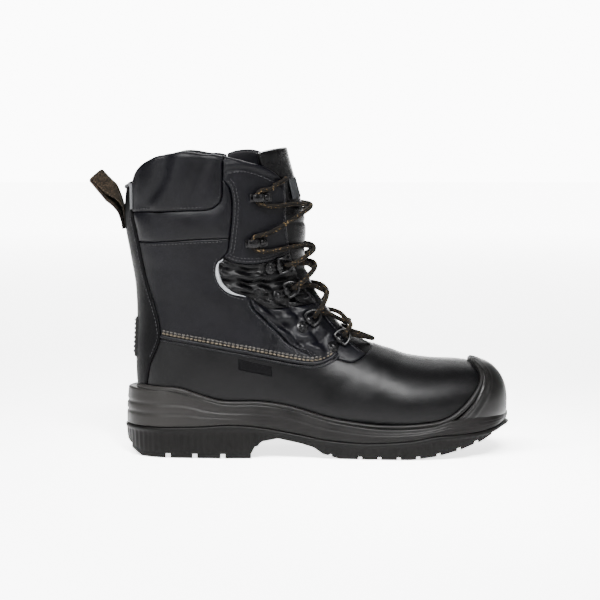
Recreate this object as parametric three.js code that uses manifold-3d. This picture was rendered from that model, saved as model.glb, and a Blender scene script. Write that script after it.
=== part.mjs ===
// Steel toe work boot, right foot, about EU 43.
// Millimetres, +Z up, +X towards the toe, -Y is the outer side.
import * as THREE from 'three';
import { mergeVertices } from 'three/addons/utils/BufferGeometryUtils.js';
import Module from 'manifold-3d';

const wasm = await Module();
wasm.setup();

// ---- driving dimensions ----
const SEAM_GAP = 0.4;
const LEATHER = 1.8;
const FACING_PROUD = 1.0;
const BACKSTAY_PROUD = 0.8;
const PAD_PROUD = 2.4;
const BUMPER_THICK = 3.4;
const STIFFENER = [-3.9, -2.1];
const LINING = [-5.4, -4.1];
const OVERLAY = [0.3, 1.5];
const FOOTBED_OFFSET = -5.8;
const RING_WIRE = 1.1;
const RING_HALF = 5.6;
const RING_REACH = 10.2;
const RING_TILT = 0.39;
const BARREL_R = 2.5;
const BARREL_BORE = 1.4;
const LACE_R = 1.8;
const HOOK_WIDTH = 5;
const LOOP_WIDTH = 20;
const DEG = Math.PI / 180;
const LAT = -1;
const MED = 1;

// ---- foot-shaped body: a fan of sections from the toe over the instep to the collar ----
// each row: front or top point x, z; sole or back point x, z; half width; centre y;
// level of the widest point; roundness above it; roundness below it
const SECTIONS = [
  [161.5, 42, 161.5, 42, 0.5, 4, 0.42, 2.2, 2.4],
  [160.3, 52, 160.3, 31.5, 14, 4, 0.42, 2.2, 2.4],
  [156.5, 60.5, 156.5, 26.5, 23.5, 4, 0.42, 2.2, 2.5],
  [149.5, 67.5, 149.5, 22.5, 31.5, 3.5, 0.41, 2.2, 2.6],
  [139, 71.5, 139, 20, 38.5, 3, 0.4, 2.2, 2.8],
  [122, 74, 123, 18, 44, 2, 0.38, 2.1, 3],
  [103, 75, 103, 17, 48, 0.5, 0.37, 2, 3],
  [84, 78, 81, 16.5, 49.5, -1, 0.36, 2, 3],
  [66, 84, 57, 17, 47.5, -1.5, 0.37, 2, 3],
  [50, 89.8, 30, 19, 44, -2, 0.38, 2, 3],
  [38, 97, 0, 22, 41, -2.5, 0.4, 2, 3],
  [28, 106.5, -32, 26, 40.5, -2.5, 0.42, 2, 3],
  [20, 117, -66, 29, 41, -2, 0.44, 2, 3],
  [12.5, 128, -98, 30, 42, -1.5, 0.46, 2, 2.9],
  [7, 139, -119, 34, 43, -1, 0.48, 2, 2.7],
  [3, 150, -128.5, 50, 44, 0, 0.5, 2, 2.5],
  [1.5, 162, -130.5, 76, 45, 0, 0.5, 2, 2.4],
  [1, 175, -129.5, 105, 46, 0, 0.5, 2, 2.3],
  [0, 188, -130.5, 134, 47, 0, 0.5, 2, 2.3],
  [-2, 202, -134.5, 158, 48.5, 0, 0.5, 2, 2.3],
  [-5, 218, -138.5, 182, 50, 0, 0.5, 2, 2.3],
  [-9, 234, -138, 206, 51, 0, 0.5, 2, 2.3],
  [-13, 252, -133, 236, 51.5, 0, 0.5, 2, 2.3],
];
const LAST = SECTIONS.length - 1;

function sectionAt(u) {
  const t = Math.min(Math.max(u, 0), LAST);
  const i = Math.min(Math.floor(t), LAST - 1);
  const f = t - i;
  const p1 = SECTIONS[i];
  const p2 = SECTIONS[i + 1];
  const p0 = SECTIONS[i - 1] || p1.map((v, k) => 2 * v - p2[k]);
  const p3 = SECTIONS[i + 2] || p2.map((v, k) => 2 * v - p1[k]);
  return p1.map((v, k) => {
    const a = 2 * p0[k] - 5 * v + 4 * p2[k] - p3[k];
    const b = -p0[k] + 3 * v - 3 * p2[k] + p3[k];
    return 0.5 * (2 * v + (p2[k] - p0[k]) * f + a * f * f + b * f * f * f);
  });
}

// the same section moved outwards by d along the side-view outline, and wider by d
function offsetSection(u, d) {
  const s = sectionAt(u);
  const a = sectionAt(Math.max(u - 0.05, 0));
  const b = sectionAt(Math.min(u + 0.05, LAST));
  const top = new THREE.Vector2(b[1] - a[1], a[0] - b[0]).normalize().multiplyScalar(d);
  const low = new THREE.Vector2(a[3] - b[3], b[2] - a[2]).normalize().multiplyScalar(d);
  const wide = Math.max(s[4] + d, 0.4);
  return [s[0] + top.x, s[1] + top.y, s[2] + low.x, s[3] + low.y, wide, s[5], s[6], s[7], s[8]];
}

function skinPoint(u, phi, d = 0) {
  const s = offsetSection(u, d);
  const c = Math.cos(phi);
  const w = Math.sin(phi);
  const p = c >= 0 ? s[7] : s[8];
  const r = (Math.abs(c) ** p + Math.abs(w) ** p) ** (-1 / p);
  const rise = r * c;
  const mid = [s[2] + (s[0] - s[2]) * s[6], s[3] + (s[1] - s[3]) * s[6]];
  const end = rise >= 0 ? [s[0], s[1]] : [s[2], s[3]];
  const k = Math.abs(rise);
  const x = mid[0] + (end[0] - mid[0]) * k;
  const z = mid[1] + (end[1] - mid[1]) * k;
  return new THREE.Vector3(x, s[5] + s[4] * r * w, z);
}

function skinNormal(u, phi) {
  const e = 0.02;
  const a = skinPoint(u + e, phi).sub(skinPoint(u - e, phi));
  const b = skinPoint(u, phi + e).sub(skinPoint(u, phi - e));
  return a.cross(b).normalize().multiplyScalar(-1);
}

// section and angle of the skin point seen at x, z on one side
function locate(x, z, side) {
  let best = [1e9, 0, 0];
  for (let u = 0.2; u < LAST; u += 0.1) {
    for (let k = 1; k < 60; k += 1) {
      const p = skinPoint(u, side * k * 3 * DEG);
      const e = (p.x - x) ** 2 + (p.z - z) ** 2;
      if (e < best[0]) best = [e, u, side * k * 3 * DEG];
    }
  }
  let step = 0.06;
  for (let n = 0; n < 12; n += 1) {
    for (const [du, dp] of [[1, 0], [-1, 0], [0, 1], [0, -1]]) {
      const u = best[1] + du * step;
      const phi = best[2] + dp * step * 0.5;
      const p = skinPoint(u, phi);
      const e = (p.x - x) ** 2 + (p.z - z) ** 2;
      if (e < best[0]) best = [e, u, phi];
    }
    if (n % 3 === 2) step *= 0.5;
  }
  return { u: best[1], phi: best[2] };
}

function onSkin(x, z, side, height) {
  const { u, phi } = locate(x, z, side);
  return skinPoint(u, phi).addScaledVector(skinNormal(u, phi), height);
}

// ---- solids ----
function toSolid(geometry) {
  let g = geometry.clone();
  g.deleteAttribute('normal');
  g.deleteAttribute('uv');
  g = mergeVertices(g, 1e-4);
  const p = g.attributes.position.array;
  const idx = Array.from(g.index.array);
  const tris = [];
  let volume = 0;
  for (let i = 0; i < idx.length; i += 3) {
    const [a, b, c] = [idx[i], idx[i + 1], idx[i + 2]];
    if (a === b || b === c || a === c) continue;
    tris.push(a, b, c);
    const va = new THREE.Vector3(p[3 * a], p[3 * a + 1], p[3 * a + 2]);
    const vb = new THREE.Vector3(p[3 * b], p[3 * b + 1], p[3 * b + 2]);
    const vc = new THREE.Vector3(p[3 * c], p[3 * c + 1], p[3 * c + 2]);
    volume += va.dot(vb.cross(vc));
  }
  if (volume < 0) tris.reverse();
  const mesh = new wasm.Mesh({
    numProp: 3, vertProperties: new Float32Array(p), triVerts: new Uint32Array(tris),
  });
  return new wasm.Manifold(mesh);
}

const TURN_STEPS = 20;
const ROWS = [0.45, 1, 1.8, 2.8, 4, 5.5, 7, 8.5, 10, 11.4, 12.6, 13.6, 14.6, 16, 17.8, 19.8, 22];
const cache = new Map();

function body(d) {
  if (cache.has(d)) return cache.get(d);
  const g = new THREE.SphereGeometry(1, TURN_STEPS, ROWS.length + 1);
  const pos = g.attributes.position;
  const topMid = skinPoint(LAST, 0, d).add(skinPoint(LAST, Math.PI, d)).multiplyScalar(0.5);
  for (let i = 0; i < pos.count; i += 1) {
    const row = Math.floor(i / (TURN_STEPS + 1));
    const col = (i % (TURN_STEPS + 1)) % TURN_STEPS;
    let p = topMid;
    if (row === 0) p = new THREE.Vector3(SECTIONS[0][0] + d, SECTIONS[0][5], SECTIONS[0][1]);
    else if (row <= ROWS.length) p = skinPoint(ROWS[row - 1], (col / TURN_STEPS) * 2 * Math.PI, d);
    pos.setXYZ(i, p.x, p.y, p.z);
  }
  cache.set(d, toSolid(g));
  return cache.get(d);
}

const shell = (inner, outer) => body(outer).subtract(body(inner));

// prism from a side-view outline, from y0 to y1
function sidePrism(outline, y0 = -90, y1 = 90) {
  const near = (a, b) => Math.hypot(a[0] - b[0], a[1] - b[1]) < 0.05;
  const kept = outline.filter((p, i) => !near(p, outline[(i + 1) % outline.length]));
  const shape = new THREE.Shape(kept.map(([x, z]) => new THREE.Vector2(x, z)));
  const g = new THREE.ExtrudeGeometry(shape, { depth: y1 - y0, bevelEnabled: false });
  g.rotateX(Math.PI / 2);
  g.translate(0, y1, 0);
  return toSolid(g);
}

function planPrism(outline, z0, z1) {
  const shape = new THREE.Shape(outline.map(([x, y]) => new THREE.Vector2(x, y)));
  const g = new THREE.ExtrudeGeometry(shape, { depth: z1 - z0, bevelEnabled: false });
  g.translate(0, 0, z0);
  return toSolid(g);
}

function box(x0, x1, y0, y1, z0, z1) {
  const g = new THREE.BoxGeometry(x1 - x0, y1 - y0, z1 - z0);
  g.translate((x0 + x1) / 2, (y0 + y1) / 2, (z0 + z1) / 2);
  return toSolid(g);
}

// thin knife along a side-view line, to open the gap of a seam
function knife(line, width = SEAM_GAP) {
  const left = [];
  const right = [];
  line.forEach(([x, z], i) => {
    const a = line[Math.max(i - 1, 0)];
    const b = line[Math.min(i + 1, line.length - 1)];
    const len = Math.hypot(b[0] - a[0], b[1] - a[1]);
    const nx = (-(b[1] - a[1]) / len) * (width / 2);
    const nz = ((b[0] - a[0]) / len) * (width / 2);
    left.push([x + nx, z + nz]);
    right.unshift([x - nx, z - nz]);
  });
  return sidePrism([...left, ...right]);
}

function half(side) {
  return side === LAT ? [-90, 0] : [0, 90];
}

// ---- side-view seam lines, from the heel or the collar towards the toe ----
const BACK_LINE = [[-132.5, 240], [-131.8, 217], [-131.5, 192], [-126.6, 168.7], [-121.2, 141],
  [-112, 110.5], [-109.6, 96], [-112, 87], [-118, 73], [-121.4, 54], [-123, 40]];
const TAPE_LINE = [[-109.6, 96], [-79, 90.5], [-40, 83], [0, 75], [13, 74.5], [24, 78], [40, 75],
  [51, 80.5], [57, 92], [57, 110]];
const PAD_LINE = [[-131.5, 192], [-102, 193.2], [-74.6, 194.2], [-66, 197.3], [-61.4, 203.5],
  [-60.6, 217.5], [-60.6, 245]];
const BAND_LINE = [[-126.6, 168.7], [-110, 169.2], [-86.3, 170.7], [-55.3, 172.2]];
const FACING_REAR = [[-60.6, 217.5], [-56, 213], [-53.4, 203], [-53.4, 190], [-55.3, 172.2],
  [-57, 162], [-60.7, 158.2]];
const FACING_LOW = [[-60.7, 158.2], [-51.4, 153.4], [-35.9, 152.1], [-20.4, 155.1], [-8.7, 160.3],
  [6, 168]];
const CRESCENT = [[-60.7, 158.2], [-64.2, 152.7], [-64.8, 145], [-61.5, 136.3], [-53.8, 129.9],
  [-39.8, 125.6]];
const QUARTER_FRONT = [[-39.8, 125.6], [-36.7, 116.9], [-20.3, 101], [-7.8, 88.5], [10, 79], [13, 74.5]];
const FLEX_LINE = [[-39.8, 125.6], [-25, 117], [-8, 117.5], [13.5, 119.7], [24, 122]];
const FACING_FRONT = [[-13.4, 222], [-11.8, 200], [-11.8, 184], [-8.7, 160.3]];
const LOWER_FRONT = [[-8.7, 160.3], [-0.8, 140], [13.5, 119.7], [26.9, 102.5], [40.3, 89], [51, 80.5]];
const COLLAR_TOP = [
  [-150, 214], [-137, 215], [-131.8, 217.5], [-126.5, 225.5], [-118, 232.3], [-104, 237.5],
  [-78.4, 237.8], [-62.9, 236.2], [-51.3, 233], [-30.5, 227.6], [-20.4, 222.4], [-13.4, 215.6],
  [8, 210]];
const BELOW_COLLAR = sidePrism([...COLLAR_TOP, [200, 210], [200, 0], [-150, 0]]);
const INSOLE_LINE = [[-150, 50], [-127, 50], [-119, 41], [-98, 37.5], [-66, 36], [0, 29], [57, 24.5],
  [103, 24.5], [140, 28], [152, 32], [175, 38]];
const FOXING = [[-160, 54], [-128, 53], [-94.6, 52.6], [-75, 45.6], [-59, 42.3], [-32, 42.6],
  [-8.6, 38.8], [22.7, 29.3], [55, 24.5], [79, 24], [103, 26], [118, 30], [175, 30]];
const SOLE_SPLIT = [[-160, 22], [-80, 22], [-50, 23.5], [-20, 20.5], [20, 13], [50, 10.5], [85, 10.5],
  [105, 12], [125, 15.5], [145, 20.5], [175, 28.5]];

// ---- outline of the sole from above, outer side then inner side ----
const SOLE_OUTER = [[-128, -27], [-112, -38.5], [-90, -43], [-60, -45], [-30, -45], [0, -45],
  [30, -47.5], [55, -51.5], [80, -53.5], [103, -52], [125, -46.5], [143, -37.5], [156, -26], [164, -11]];
const SOLE_INNER = [[164, 19], [156, 33], [143, 42.5], [125, 48.5], [103, 51.5], [80, 50.5], [55, 47],
  [30, 43.5], [0, 41.5], [-30, 41], [-60, 42], [-90, 41.5], [-112, 37.5], [-128, 27]];
const SOLE_PLAN = [[-139, 0], [-136, -14], ...SOLE_OUTER, [166.8, 4], ...SOLE_INNER, [-136, 14]];

function inset(outline, by) {
  const n = outline.length;
  return outline.map(([x, y], i) => {
    const a = outline[(i + n - 1) % n];
    const b = outline[(i + 1) % n];
    const len = Math.hypot(b[0] - a[0], b[1] - a[1]);
    return [x - ((b[1] - a[1]) / len) * by, y + ((b[0] - a[0]) / len) * by];
  });
}

// ---- the group and its materials ----
const boot = new THREE.Group();
boot.name = 'steel_toe_work_boot';

const look = (color, roughness, metalness = 0) => ({ color, roughness, metalness });
const BLACK_LEATHER = look(0x1c1c1e, 0.42);
const SOFT_LEATHER = look(0x18181a, 0.5);
const RUBBER = look(0x1b1a1a, 0.75);
const FABRIC = look(0x2a2a2c, 0.95);
const GREY_TRIM = look(0x9a9c9e, 0.5);
const STEEL = look(0x9a9da0, 0.35, 0.9);
const BLACK_METAL = look(0x232323, 0.3, 0.8);
const BOARD = look(0x8a7357, 0.9);
const LACE_CLOTH = look(0x2b221a, 0.9);

function addSolid(name, manifold, style) {
  const m = manifold.getMesh();
  const g = new THREE.BufferGeometry();
  g.setAttribute('position', new THREE.BufferAttribute(new Float32Array(m.vertProperties), 3));
  g.setIndex(new THREE.BufferAttribute(new Uint32Array(m.triVerts), 1));
  g.computeVertexNormals();
  const mesh = new THREE.Mesh(g, new THREE.MeshStandardMaterial(style));
  mesh.name = name;
  boot.add(mesh);
  return mesh;
}

// ---- leather panels of the upper ----
const SIDE_SEAMS = [BACK_LINE, TAPE_LINE, PAD_LINE, BAND_LINE, FACING_REAR, FACING_LOW, CRESCENT,
  QUARTER_FRONT, FLEX_LINE, FACING_FRONT, LOWER_FRONT].map((line) => knife(line));
const KNIVES = SIDE_SEAMS.reduce((all, k) => all.add(k));

const HOLE = inset(SOLE_PLAN, 17).filter(([x]) => x < 140);
const BELOW_INSOLE = sidePrism([...INSOLE_LINE, [175, 0], [-150, 0]]);
const SOLE_HOLE = planPrism(HOLE, 0, 60).intersect(BELOW_INSOLE);

function panel(name, outer, outline, y0, y1, style = BLACK_LEATHER) {
  const skin = shell(-LEATHER, outer).intersect(sidePrism(outline, y0, y1));
  addSolid(name, skin.intersect(BELOW_COLLAR).subtract(KNIVES), style);
}

const vampOutline = [...TAPE_LINE, [57, 120], [190, 120], [190, 0], [-150, 0], [-150, 40],
  ...BACK_LINE.slice(6).reverse().slice(0, -1)];
const vampKnives = KNIVES.add(SOLE_HOLE).add(knife([[-150, 40], [-123, 40]]));
addSolid('vamp', shell(-LEATHER, 0).intersect(sidePrism(vampOutline)).subtract(vampKnives), BLACK_LEATHER);

const backOutline = [...BACK_LINE, [-150, 40], [-150, 240]];
const backProud = shell(-0.3, BACKSTAY_PROUD).intersect(box(-160, 0, -60, 60, 56, 240));
const backBase = shell(-LEATHER, 0).add(backProud);
const backShell = backBase.intersect(sidePrism(backOutline)).intersect(BELOW_COLLAR);
addSolid('backstay', backShell.subtract(KNIVES).subtract(knife([[-150, 40], [-123, 40]])), BLACK_LEATHER);

for (const [side, word] of [[LAT, 'lateral'], [MED, 'medial']]) {
  const [y0, y1] = half(side);
  panel(`collar_pad_${word}`, PAD_PROUD, [...PAD_LINE, [-132.5, 245], ...BACK_LINE.slice(1, 2)], y0, y1);
  panel(`ankle_band_${word}`, PAD_PROUD - 1, [...PAD_LINE.slice(0, 6), ...FACING_REAR.slice(1, 5),
    ...BAND_LINE.slice(0, 3).reverse()], y0, y1);
  panel(`quarter_${word}`, 0, [...BAND_LINE, ...FACING_REAR.slice(5), ...CRESCENT.slice(1),
    ...QUARTER_FRONT.slice(1), ...TAPE_LINE.slice(0, 4).reverse(),
    ...BACK_LINE.slice(4, 6).reverse()], y0, y1);
  panel(`flex_gusset_${word}`, 0, [...CRESCENT, ...FLEX_LINE.slice(1, 4),
    ...LOWER_FRONT.slice(0, 2).reverse(), ...FACING_LOW.slice(1, 4).reverse()], y0, y1, SOFT_LEATHER);
  panel(`lower_eyestay_${word}`, 0, [...FLEX_LINE.slice(0, 4), ...LOWER_FRONT.slice(3),
    ...TAPE_LINE.slice(4, 7).reverse(),
    ...QUARTER_FRONT.slice(1, 5).reverse()], y0, y1);
  panel(`upper_facing_${word}`, FACING_PROUD, [[-60.6, 245], ...FACING_REAR, ...FACING_LOW.slice(1, 5),
    ...FACING_FRONT.slice(0, 3).reverse(), [-13.4, 245]], y0, y1);
}

// ---- tongue ----
const TONGUE_SPLIT = 198;
const throat = [[-10.6, TONGUE_SPLIT - 0.3], [-10.6, 184], [-7.5, 160.8], [0.4, 140.8], [14.7, 120.5],
  [28, 103.4], [41.2, 90.2], [50, 83.5], [54, 88], [54, 100], [40, 130], [20, TONGUE_SPLIT - 0.3]];
const tongueWide = [[-24, TONGUE_SPLIT - 0.3], [-22, 184], [-19, 160], [-10, 138], [3, 114], [17, 97],
  [30, 84], [45, 77], [66, 78], [66, 110], [20, TONGUE_SPLIT - 0.3]];
const tongueBase = shell(-3.9, -2.1).intersect(sidePrism(tongueWide));
addSolid('tongue', tongueBase.add(shell(-2.6, -0.2).intersect(sidePrism(throat))), SOFT_LEATHER);
const tongueTop = [[20, TONGUE_SPLIT + 0.3], [-10.6, TONGUE_SPLIT + 0.3], [-11, 216.5], [-14, 219.5],
  [-20.5, 226], [-31, 231.6], [-31.8, 238], [-12.6, 242.4], [20, 242.4]];
addSolid('tongue_top', shell(-3.9, -0.2).intersect(sidePrism(tongueTop)), SOFT_LEATHER);
const LABEL_HALF = 19;
const labelSide = [[20, 202], [-12, 202], [-14, 219], [20, 219]];
addSolid('tongue_label', shell(0.1, 0.8).intersect(sidePrism(labelSide, -LABEL_HALF, LABEL_HALF)), GREY_TRIM);

// ---- lining and inside stiffeners ----
const liningFront = [[-9.5, 212], [-9.5, 184], [-6, 161], [2, 141], [16, 121], [30, 103], [42, 92],
  [58, 84], [68, 90], [68, 130]];
const liningCut = sidePrism([...liningFront, [40, 240], [-8, 240]]);
const liningTop = sidePrism([...COLLAR_TOP.map(([x, z]) => [x, z - 1.5]), [200, 208], [200, 0], [-150, 0]]);
addSolid('lining', shell(...LINING).intersect(liningTop).subtract(liningCut), FABRIC);

const stiffener = shell(...STIFFENER);
const lift = (line, dz) => line.map(([x, z]) => [x, z + dz]);
addSolid('insole_board', stiffener.intersect(BELOW_INSOLE), BOARD);
const aboveInsole = sidePrism([...lift(INSOLE_LINE, 0.5), [175, 130], [-150, 130]]);
const toeRoom = box(112, 175, -70, 70, 0, 100);
addSolid('steel_toe_cap', stiffener.intersect(aboveInsole).intersect(toeRoom), STEEL);
addSolid('toe_cap_edge_strip', stiffener.intersect(aboveInsole).intersect(box(106, 111.6, -70, 70, 0, 100)),
  RUBBER);
const counter = sidePrism([[-150, 90], [-104, 87], [-80, 72], [-66, 52], [-66, 20], [-150, 20]]);
addSolid('heel_counter', stiffener.intersect(aboveInsole).intersect(counter), BOARD);

const footbedTop = [[-126, 47], [-119, 45], [-98, 43], [-66, 41.5], [0, 34.5], [57, 29.5], [103, 29.5],
  [140, 33], [152, 38]];
const footbedSide = sidePrism([...footbedTop, [152, 0], [-126, 0]]);
addSolid('footbed', body(FOOTBED_OFFSET).intersect(footbedSide), FABRIC);

const bottomLayer = shell(-LEATHER + 0.1, -0.1).intersect(planPrism(inset(HOLE, 0.3), 0, 60))
  .intersect(BELOW_INSOLE);
const SHANK = { x0: -78, x1: 32, half: 8 };
addSolid('shank', bottomLayer.intersect(box(SHANK.x0, SHANK.x1, -SHANK.half, SHANK.half, 0, 60)), STEEL);

// ---- sole unit ----
const SOLE_BOTTOM = [[-142, 19], [-137, 8], [-126, 0], [-39, 0], [-33, 13], [-18, 15.5], [10, 8.5], [16, 3],
  [30, 0], [86, 0], [105, 2.5], [122, 6.5], [140, 12.5], [152, 18], [162, 22.5], [175, 26]];
const tread = [...SOLE_BOTTOM, ...lift(SOLE_SPLIT, -0.2).reverse()];
let outsole = planPrism(SOLE_PLAN, -1, 60).intersect(sidePrism(tread));
const NOTCHES = [[-104, 5], [-83, 5], [-61, 5], [46, 5], [61, 5], [76, 5], [91, 5.6], [107, 8], [123, 12],
  [137, 17]];
for (const [x, top] of NOTCHES) {
  outsole = outsole.subtract(box(x - 2.4, x + 2.4, -70, -14, -2, top));
  outsole = outsole.subtract(box(x - 2.4, x + 2.4, 14, 70, -2, top));
}
for (const y of [-14, 14]) {
  outsole = outsole.subtract(box(-112, -54, y - 2, y + 2, -2, 5));
  outsole = outsole.subtract(box(38, 100, y - 2, y + 2, -2, 5));
}
addSolid('outsole', outsole, RUBBER);

const midBand = [...SOLE_SPLIT, ...[...FOXING].reverse()];
const midsole = planPrism(inset(SOLE_PLAN, 1), -1, 80).intersect(sidePrism(midBand));
addSolid('midsole', midsole.subtract(body(0.3)), RUBBER);

const bumperSide = [[121, 30.4], [129, 37], [137, 48], [141, 58.6], [139.8, 65.3], [133.4, 72.4],
  [133, 92], [180, 92], [180, 30.4]];
addSolid('toe_bumper', shell(0.3, BUMPER_THICK).intersect(sidePrism(bumperSide)), RUBBER);

// ---- trims on the upper ----
const TAPE_EDGE = [[-107, 99], [-79, 94.7], [-40, 86.8], [-1, 78.6], [15, 79], [25, 83], [31, 79.9],
  [23, 72.9], [11, 70.1], [-1, 71], [-40, 79], [-79, 86.1], [-107, 90.5]];
for (const [side, word] of [[LAT, 'lateral'], [MED, 'medial']]) {
  const tapeSide = sidePrism(TAPE_EDGE, ...half(side));
  addSolid(`seam_tape_${word}`, shell(...OVERLAY).intersect(tapeSide), BLACK_LEATHER);
}
const tag = [[-49, 78.3], [-22.6, 72], [-22.6, 64.2], [-49, 69.7]];
addSolid('side_tag', shell(...OVERLAY).intersect(sidePrism(tag, ...half(LAT))), look(0x121212, 0.8));

let patch = shell(BACKSTAY_PROUD + 0.3, 3.2).intersect(box(-150, -110, -11, 11, 76, 108));
for (let z = 80; z < 106; z += 5.5) {
  patch = patch.subtract(shell(2.2, 8).intersect(box(-150, -110, -9, 9, z, z + 2.4)));
}
addSolid('heel_patch', patch, RUBBER);

// ---- tubes ----
function circle(radius, sides) {
  const s = new THREE.Shape();
  for (let i = 0; i < sides; i += 1) {
    const a = (i / sides) * 2 * Math.PI;
    if (i === 0) s.moveTo(radius, 0);
    else s.lineTo(radius * Math.cos(a), radius * Math.sin(a));
  }
  return s;
}

function tube(points, radius, sides, steps) {
  const path = new THREE.CatmullRomCurve3(points, false, 'centripetal');
  const settings = { steps, extrudePath: path, bevelEnabled: false };
  return new THREE.ExtrudeGeometry(circle(radius, sides), settings);
}

for (const [side, word] of [[LAT, 'lateral'], [MED, 'medial']]) {
  const line = CRESCENT.slice(1).map(([x, z]) => onSkin(x, z, side, 1.9));
  addSolid(`piping_${word}`, toSolid(tube(line, 1.4, 6, 14)), GREY_TRIM);
}

const BINDING = [[-128.6, 194], [-128.8, 205], [-129.4, 215]];
const bindLat = BINDING.map(([x, z]) => onSkin(x, z, LAT, PAD_PROUD + 1.9));
const bindMed = BINDING.map(([x, z]) => onSkin(x, z, MED, PAD_PROUD + 1.9)).reverse();
const bindTop = [new THREE.Vector3(-136, -17, 219.5), new THREE.Vector3(-138.5, 0, 218.8),
  new THREE.Vector3(-136, 17, 219.5)];
addSolid('collar_binding', toSolid(tube([...bindLat, ...bindTop, ...bindMed], 1.5, 6, 24)), GREY_TRIM);

// ---- webbing loop behind the collar ----
const LOOP_OUTLINE = [[-141.3, 192], [-146.8, 195.5], [-151.8, 203], [-157.2, 210.6], [-163.6, 214.8],
  [-167.6, 219], [-167.4, 224.6], [-163, 227.6], [-156.6, 225.6], [-150.6, 218.4], [-145.2, 209],
  [-141.6, 201]];
const WEBBING = 2.3;
const LOOP_HOLE = inset(LOOP_OUTLINE, -WEBBING).slice(2, 11);
const loopOuter = sidePrism(LOOP_OUTLINE, -LOOP_WIDTH / 2, LOOP_WIDTH / 2);
const loopGap = sidePrism(LOOP_HOLE, -LOOP_WIDTH, LOOP_WIDTH);
addSolid('pull_loop', loopOuter.subtract(loopGap), LACE_CLOTH);

// ---- lacing hardware ----
// local frame on the leather: X towards the throat, Y along the edge, Z out of the leather
function frameAt(x, z, side, edge, height) {
  const { u, phi } = locate(x, z, side);
  const n = skinNormal(u, phi);
  const along = edge.clone().addScaledVector(n, -edge.dot(n)).normalize();
  const out = along.clone().cross(n).normalize();
  if (out.x < 0) {
    out.multiplyScalar(-1);
    along.multiplyScalar(-1);
  }
  const origin = skinPoint(u, phi).addScaledVector(n, height);
  return new THREE.Matrix4().makeBasis(out, along, n).setPosition(origin);
}

function place(manifold, matrix) {
  return manifold.transform(matrix.elements);
}

function cylinder(radius, length, sides) {
  return toSolid(new THREE.CylinderGeometry(radius, radius, length, sides));
}

function ringGeometry() {
  const c = Math.cos(RING_TILT);
  const s = Math.sin(RING_TILT);
  const pts = [[0, -RING_HALF], [4, -RING_HALF], [8, -3.9], [RING_REACH, 0], [8, 3.9], [4, RING_HALF],
    [0, RING_HALF]];
  const points = pts.map(([t, e]) => new THREE.Vector3(t * c, e, t * s + BARREL_R + 0.3));
  const bar = cylinder(RING_WIRE, 2 * RING_HALF + 2, 6).translate([0, 0, BARREL_R + 0.3]);
  return toSolid(tube(points, RING_WIRE, 5, 10)).add(bar);
}

function clipGeometry() {
  const plate = box(-10.5, 0, -HOOK_WIDTH / 2, HOOK_WIDTH / 2, 0.3, 1.5);
  const head = cylinder(2.2, 1, 8).rotate([90, 0, 0]).translate([-7, 0, 1.9]);
  const barrel = cylinder(BARREL_R, HOOK_WIDTH - 0.4, 10).translate([0, 0, BARREL_R + 0.3]);
  const bore = cylinder(BARREL_BORE, 20, 8).translate([0, 0, BARREL_R + 0.3]);
  return plate.add(barrel).add(head).subtract(bore);
}

function hookGeometry() {
  const outline = [[-8, 0.3], [10, 0.3], [10, 1.5], [1.5, 1.5], [1.5, 7.2], [-6.2, 7.2], [-7.4, 6.2],
    [-6.8, 5.4], [-6, 5.9], [0, 5.9], [0, 1.5], [-8, 1.5]];
  const arm = sidePrism(outline, -HOOK_WIDTH / 2, HOOK_WIDTH / 2);
  return arm.subtract(cylinder(1.5, 6, 8).rotate([90, 0, 0]).translate([6, 0, 1]));
}

function rivetGeometry() {
  const pin = cylinder(1.2, 1.6, 8).rotate([90, 0, 0]).translate([6, 0, 1.1]);
  return pin.add(cylinder(2.6, 0.9, 8).rotate([90, 0, 0]).translate([6, 0, 2.25]));
}

const RINGS = [[29.1, 89.9], [5.5, 105.9], [-12.5, 129.7], [-18.5, 149.8]];
const HOOKS = [[-36, 168.5], [-33, 203.5]];
const RING_EDGE = [[0.64, -0.77], [0.64, -0.77], [0.45, -0.9], [0.25, -0.97]];
const HOOK_EDGE = [[0.05, -1], [0.02, -1]];
const frames = { [LAT]: [], [MED]: [] };
for (const [side, word] of [[LAT, 'lateral'], [MED, 'medial']]) {
  RINGS.forEach(([x, z], i) => {
    const edge = new THREE.Vector3(RING_EDGE[i][0], 0, RING_EDGE[i][1]);
    const m = frameAt(x, z, side, edge, 0);
    frames[side].push(m);
    addSolid(`ring_clip_${word}_${i + 1}`, place(clipGeometry(), m), BLACK_METAL);
    addSolid(`d_ring_${word}_${i + 1}`, place(ringGeometry(), m), BLACK_METAL);
  });
  HOOKS.forEach(([x, z], i) => {
    const edge = new THREE.Vector3(HOOK_EDGE[i][0], 0, HOOK_EDGE[i][1]);
    const m = frameAt(x, z, side, edge, FACING_PROUD);
    frames[side].push(m);
    addSolid(`lace_hook_${word}_${i + 1}`, place(hookGeometry(), m), BLACK_METAL);
    addSolid(`hook_rivet_${word}_${i + 1}`, place(rivetGeometry(), m), BLACK_METAL);
  });
}

// ---- lace: across the lowest rings, then criss-cross up to the hooks, ends resting on the facings ----
const RING_TIP = [RING_REACH * Math.cos(RING_TILT), RING_REACH * Math.sin(RING_TILT) + BARREL_R + 0.3];
const HAIRPIN = RING_WIRE + LACE_R + 1.5;
const local = (m, x, y, z) => new THREE.Vector3(x, y, z).applyMatrix4(m);

// through a ring from below to above, moving up the boot by a little
function throughRing(m, up) {
  const [t, n] = RING_TIP;
  const s = up;
  return [local(m, t + 1.5, -1.2 * s, n - HAIRPIN), local(m, t - 2.6, -0.5 * s, n - 3.4),
    local(m, t - HAIRPIN, 0, n), local(m, t - 2.6, 0.5 * s, n + 3.4),
    local(m, t + 1.5, 1.2 * s, n + HAIRPIN)];
}

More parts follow.
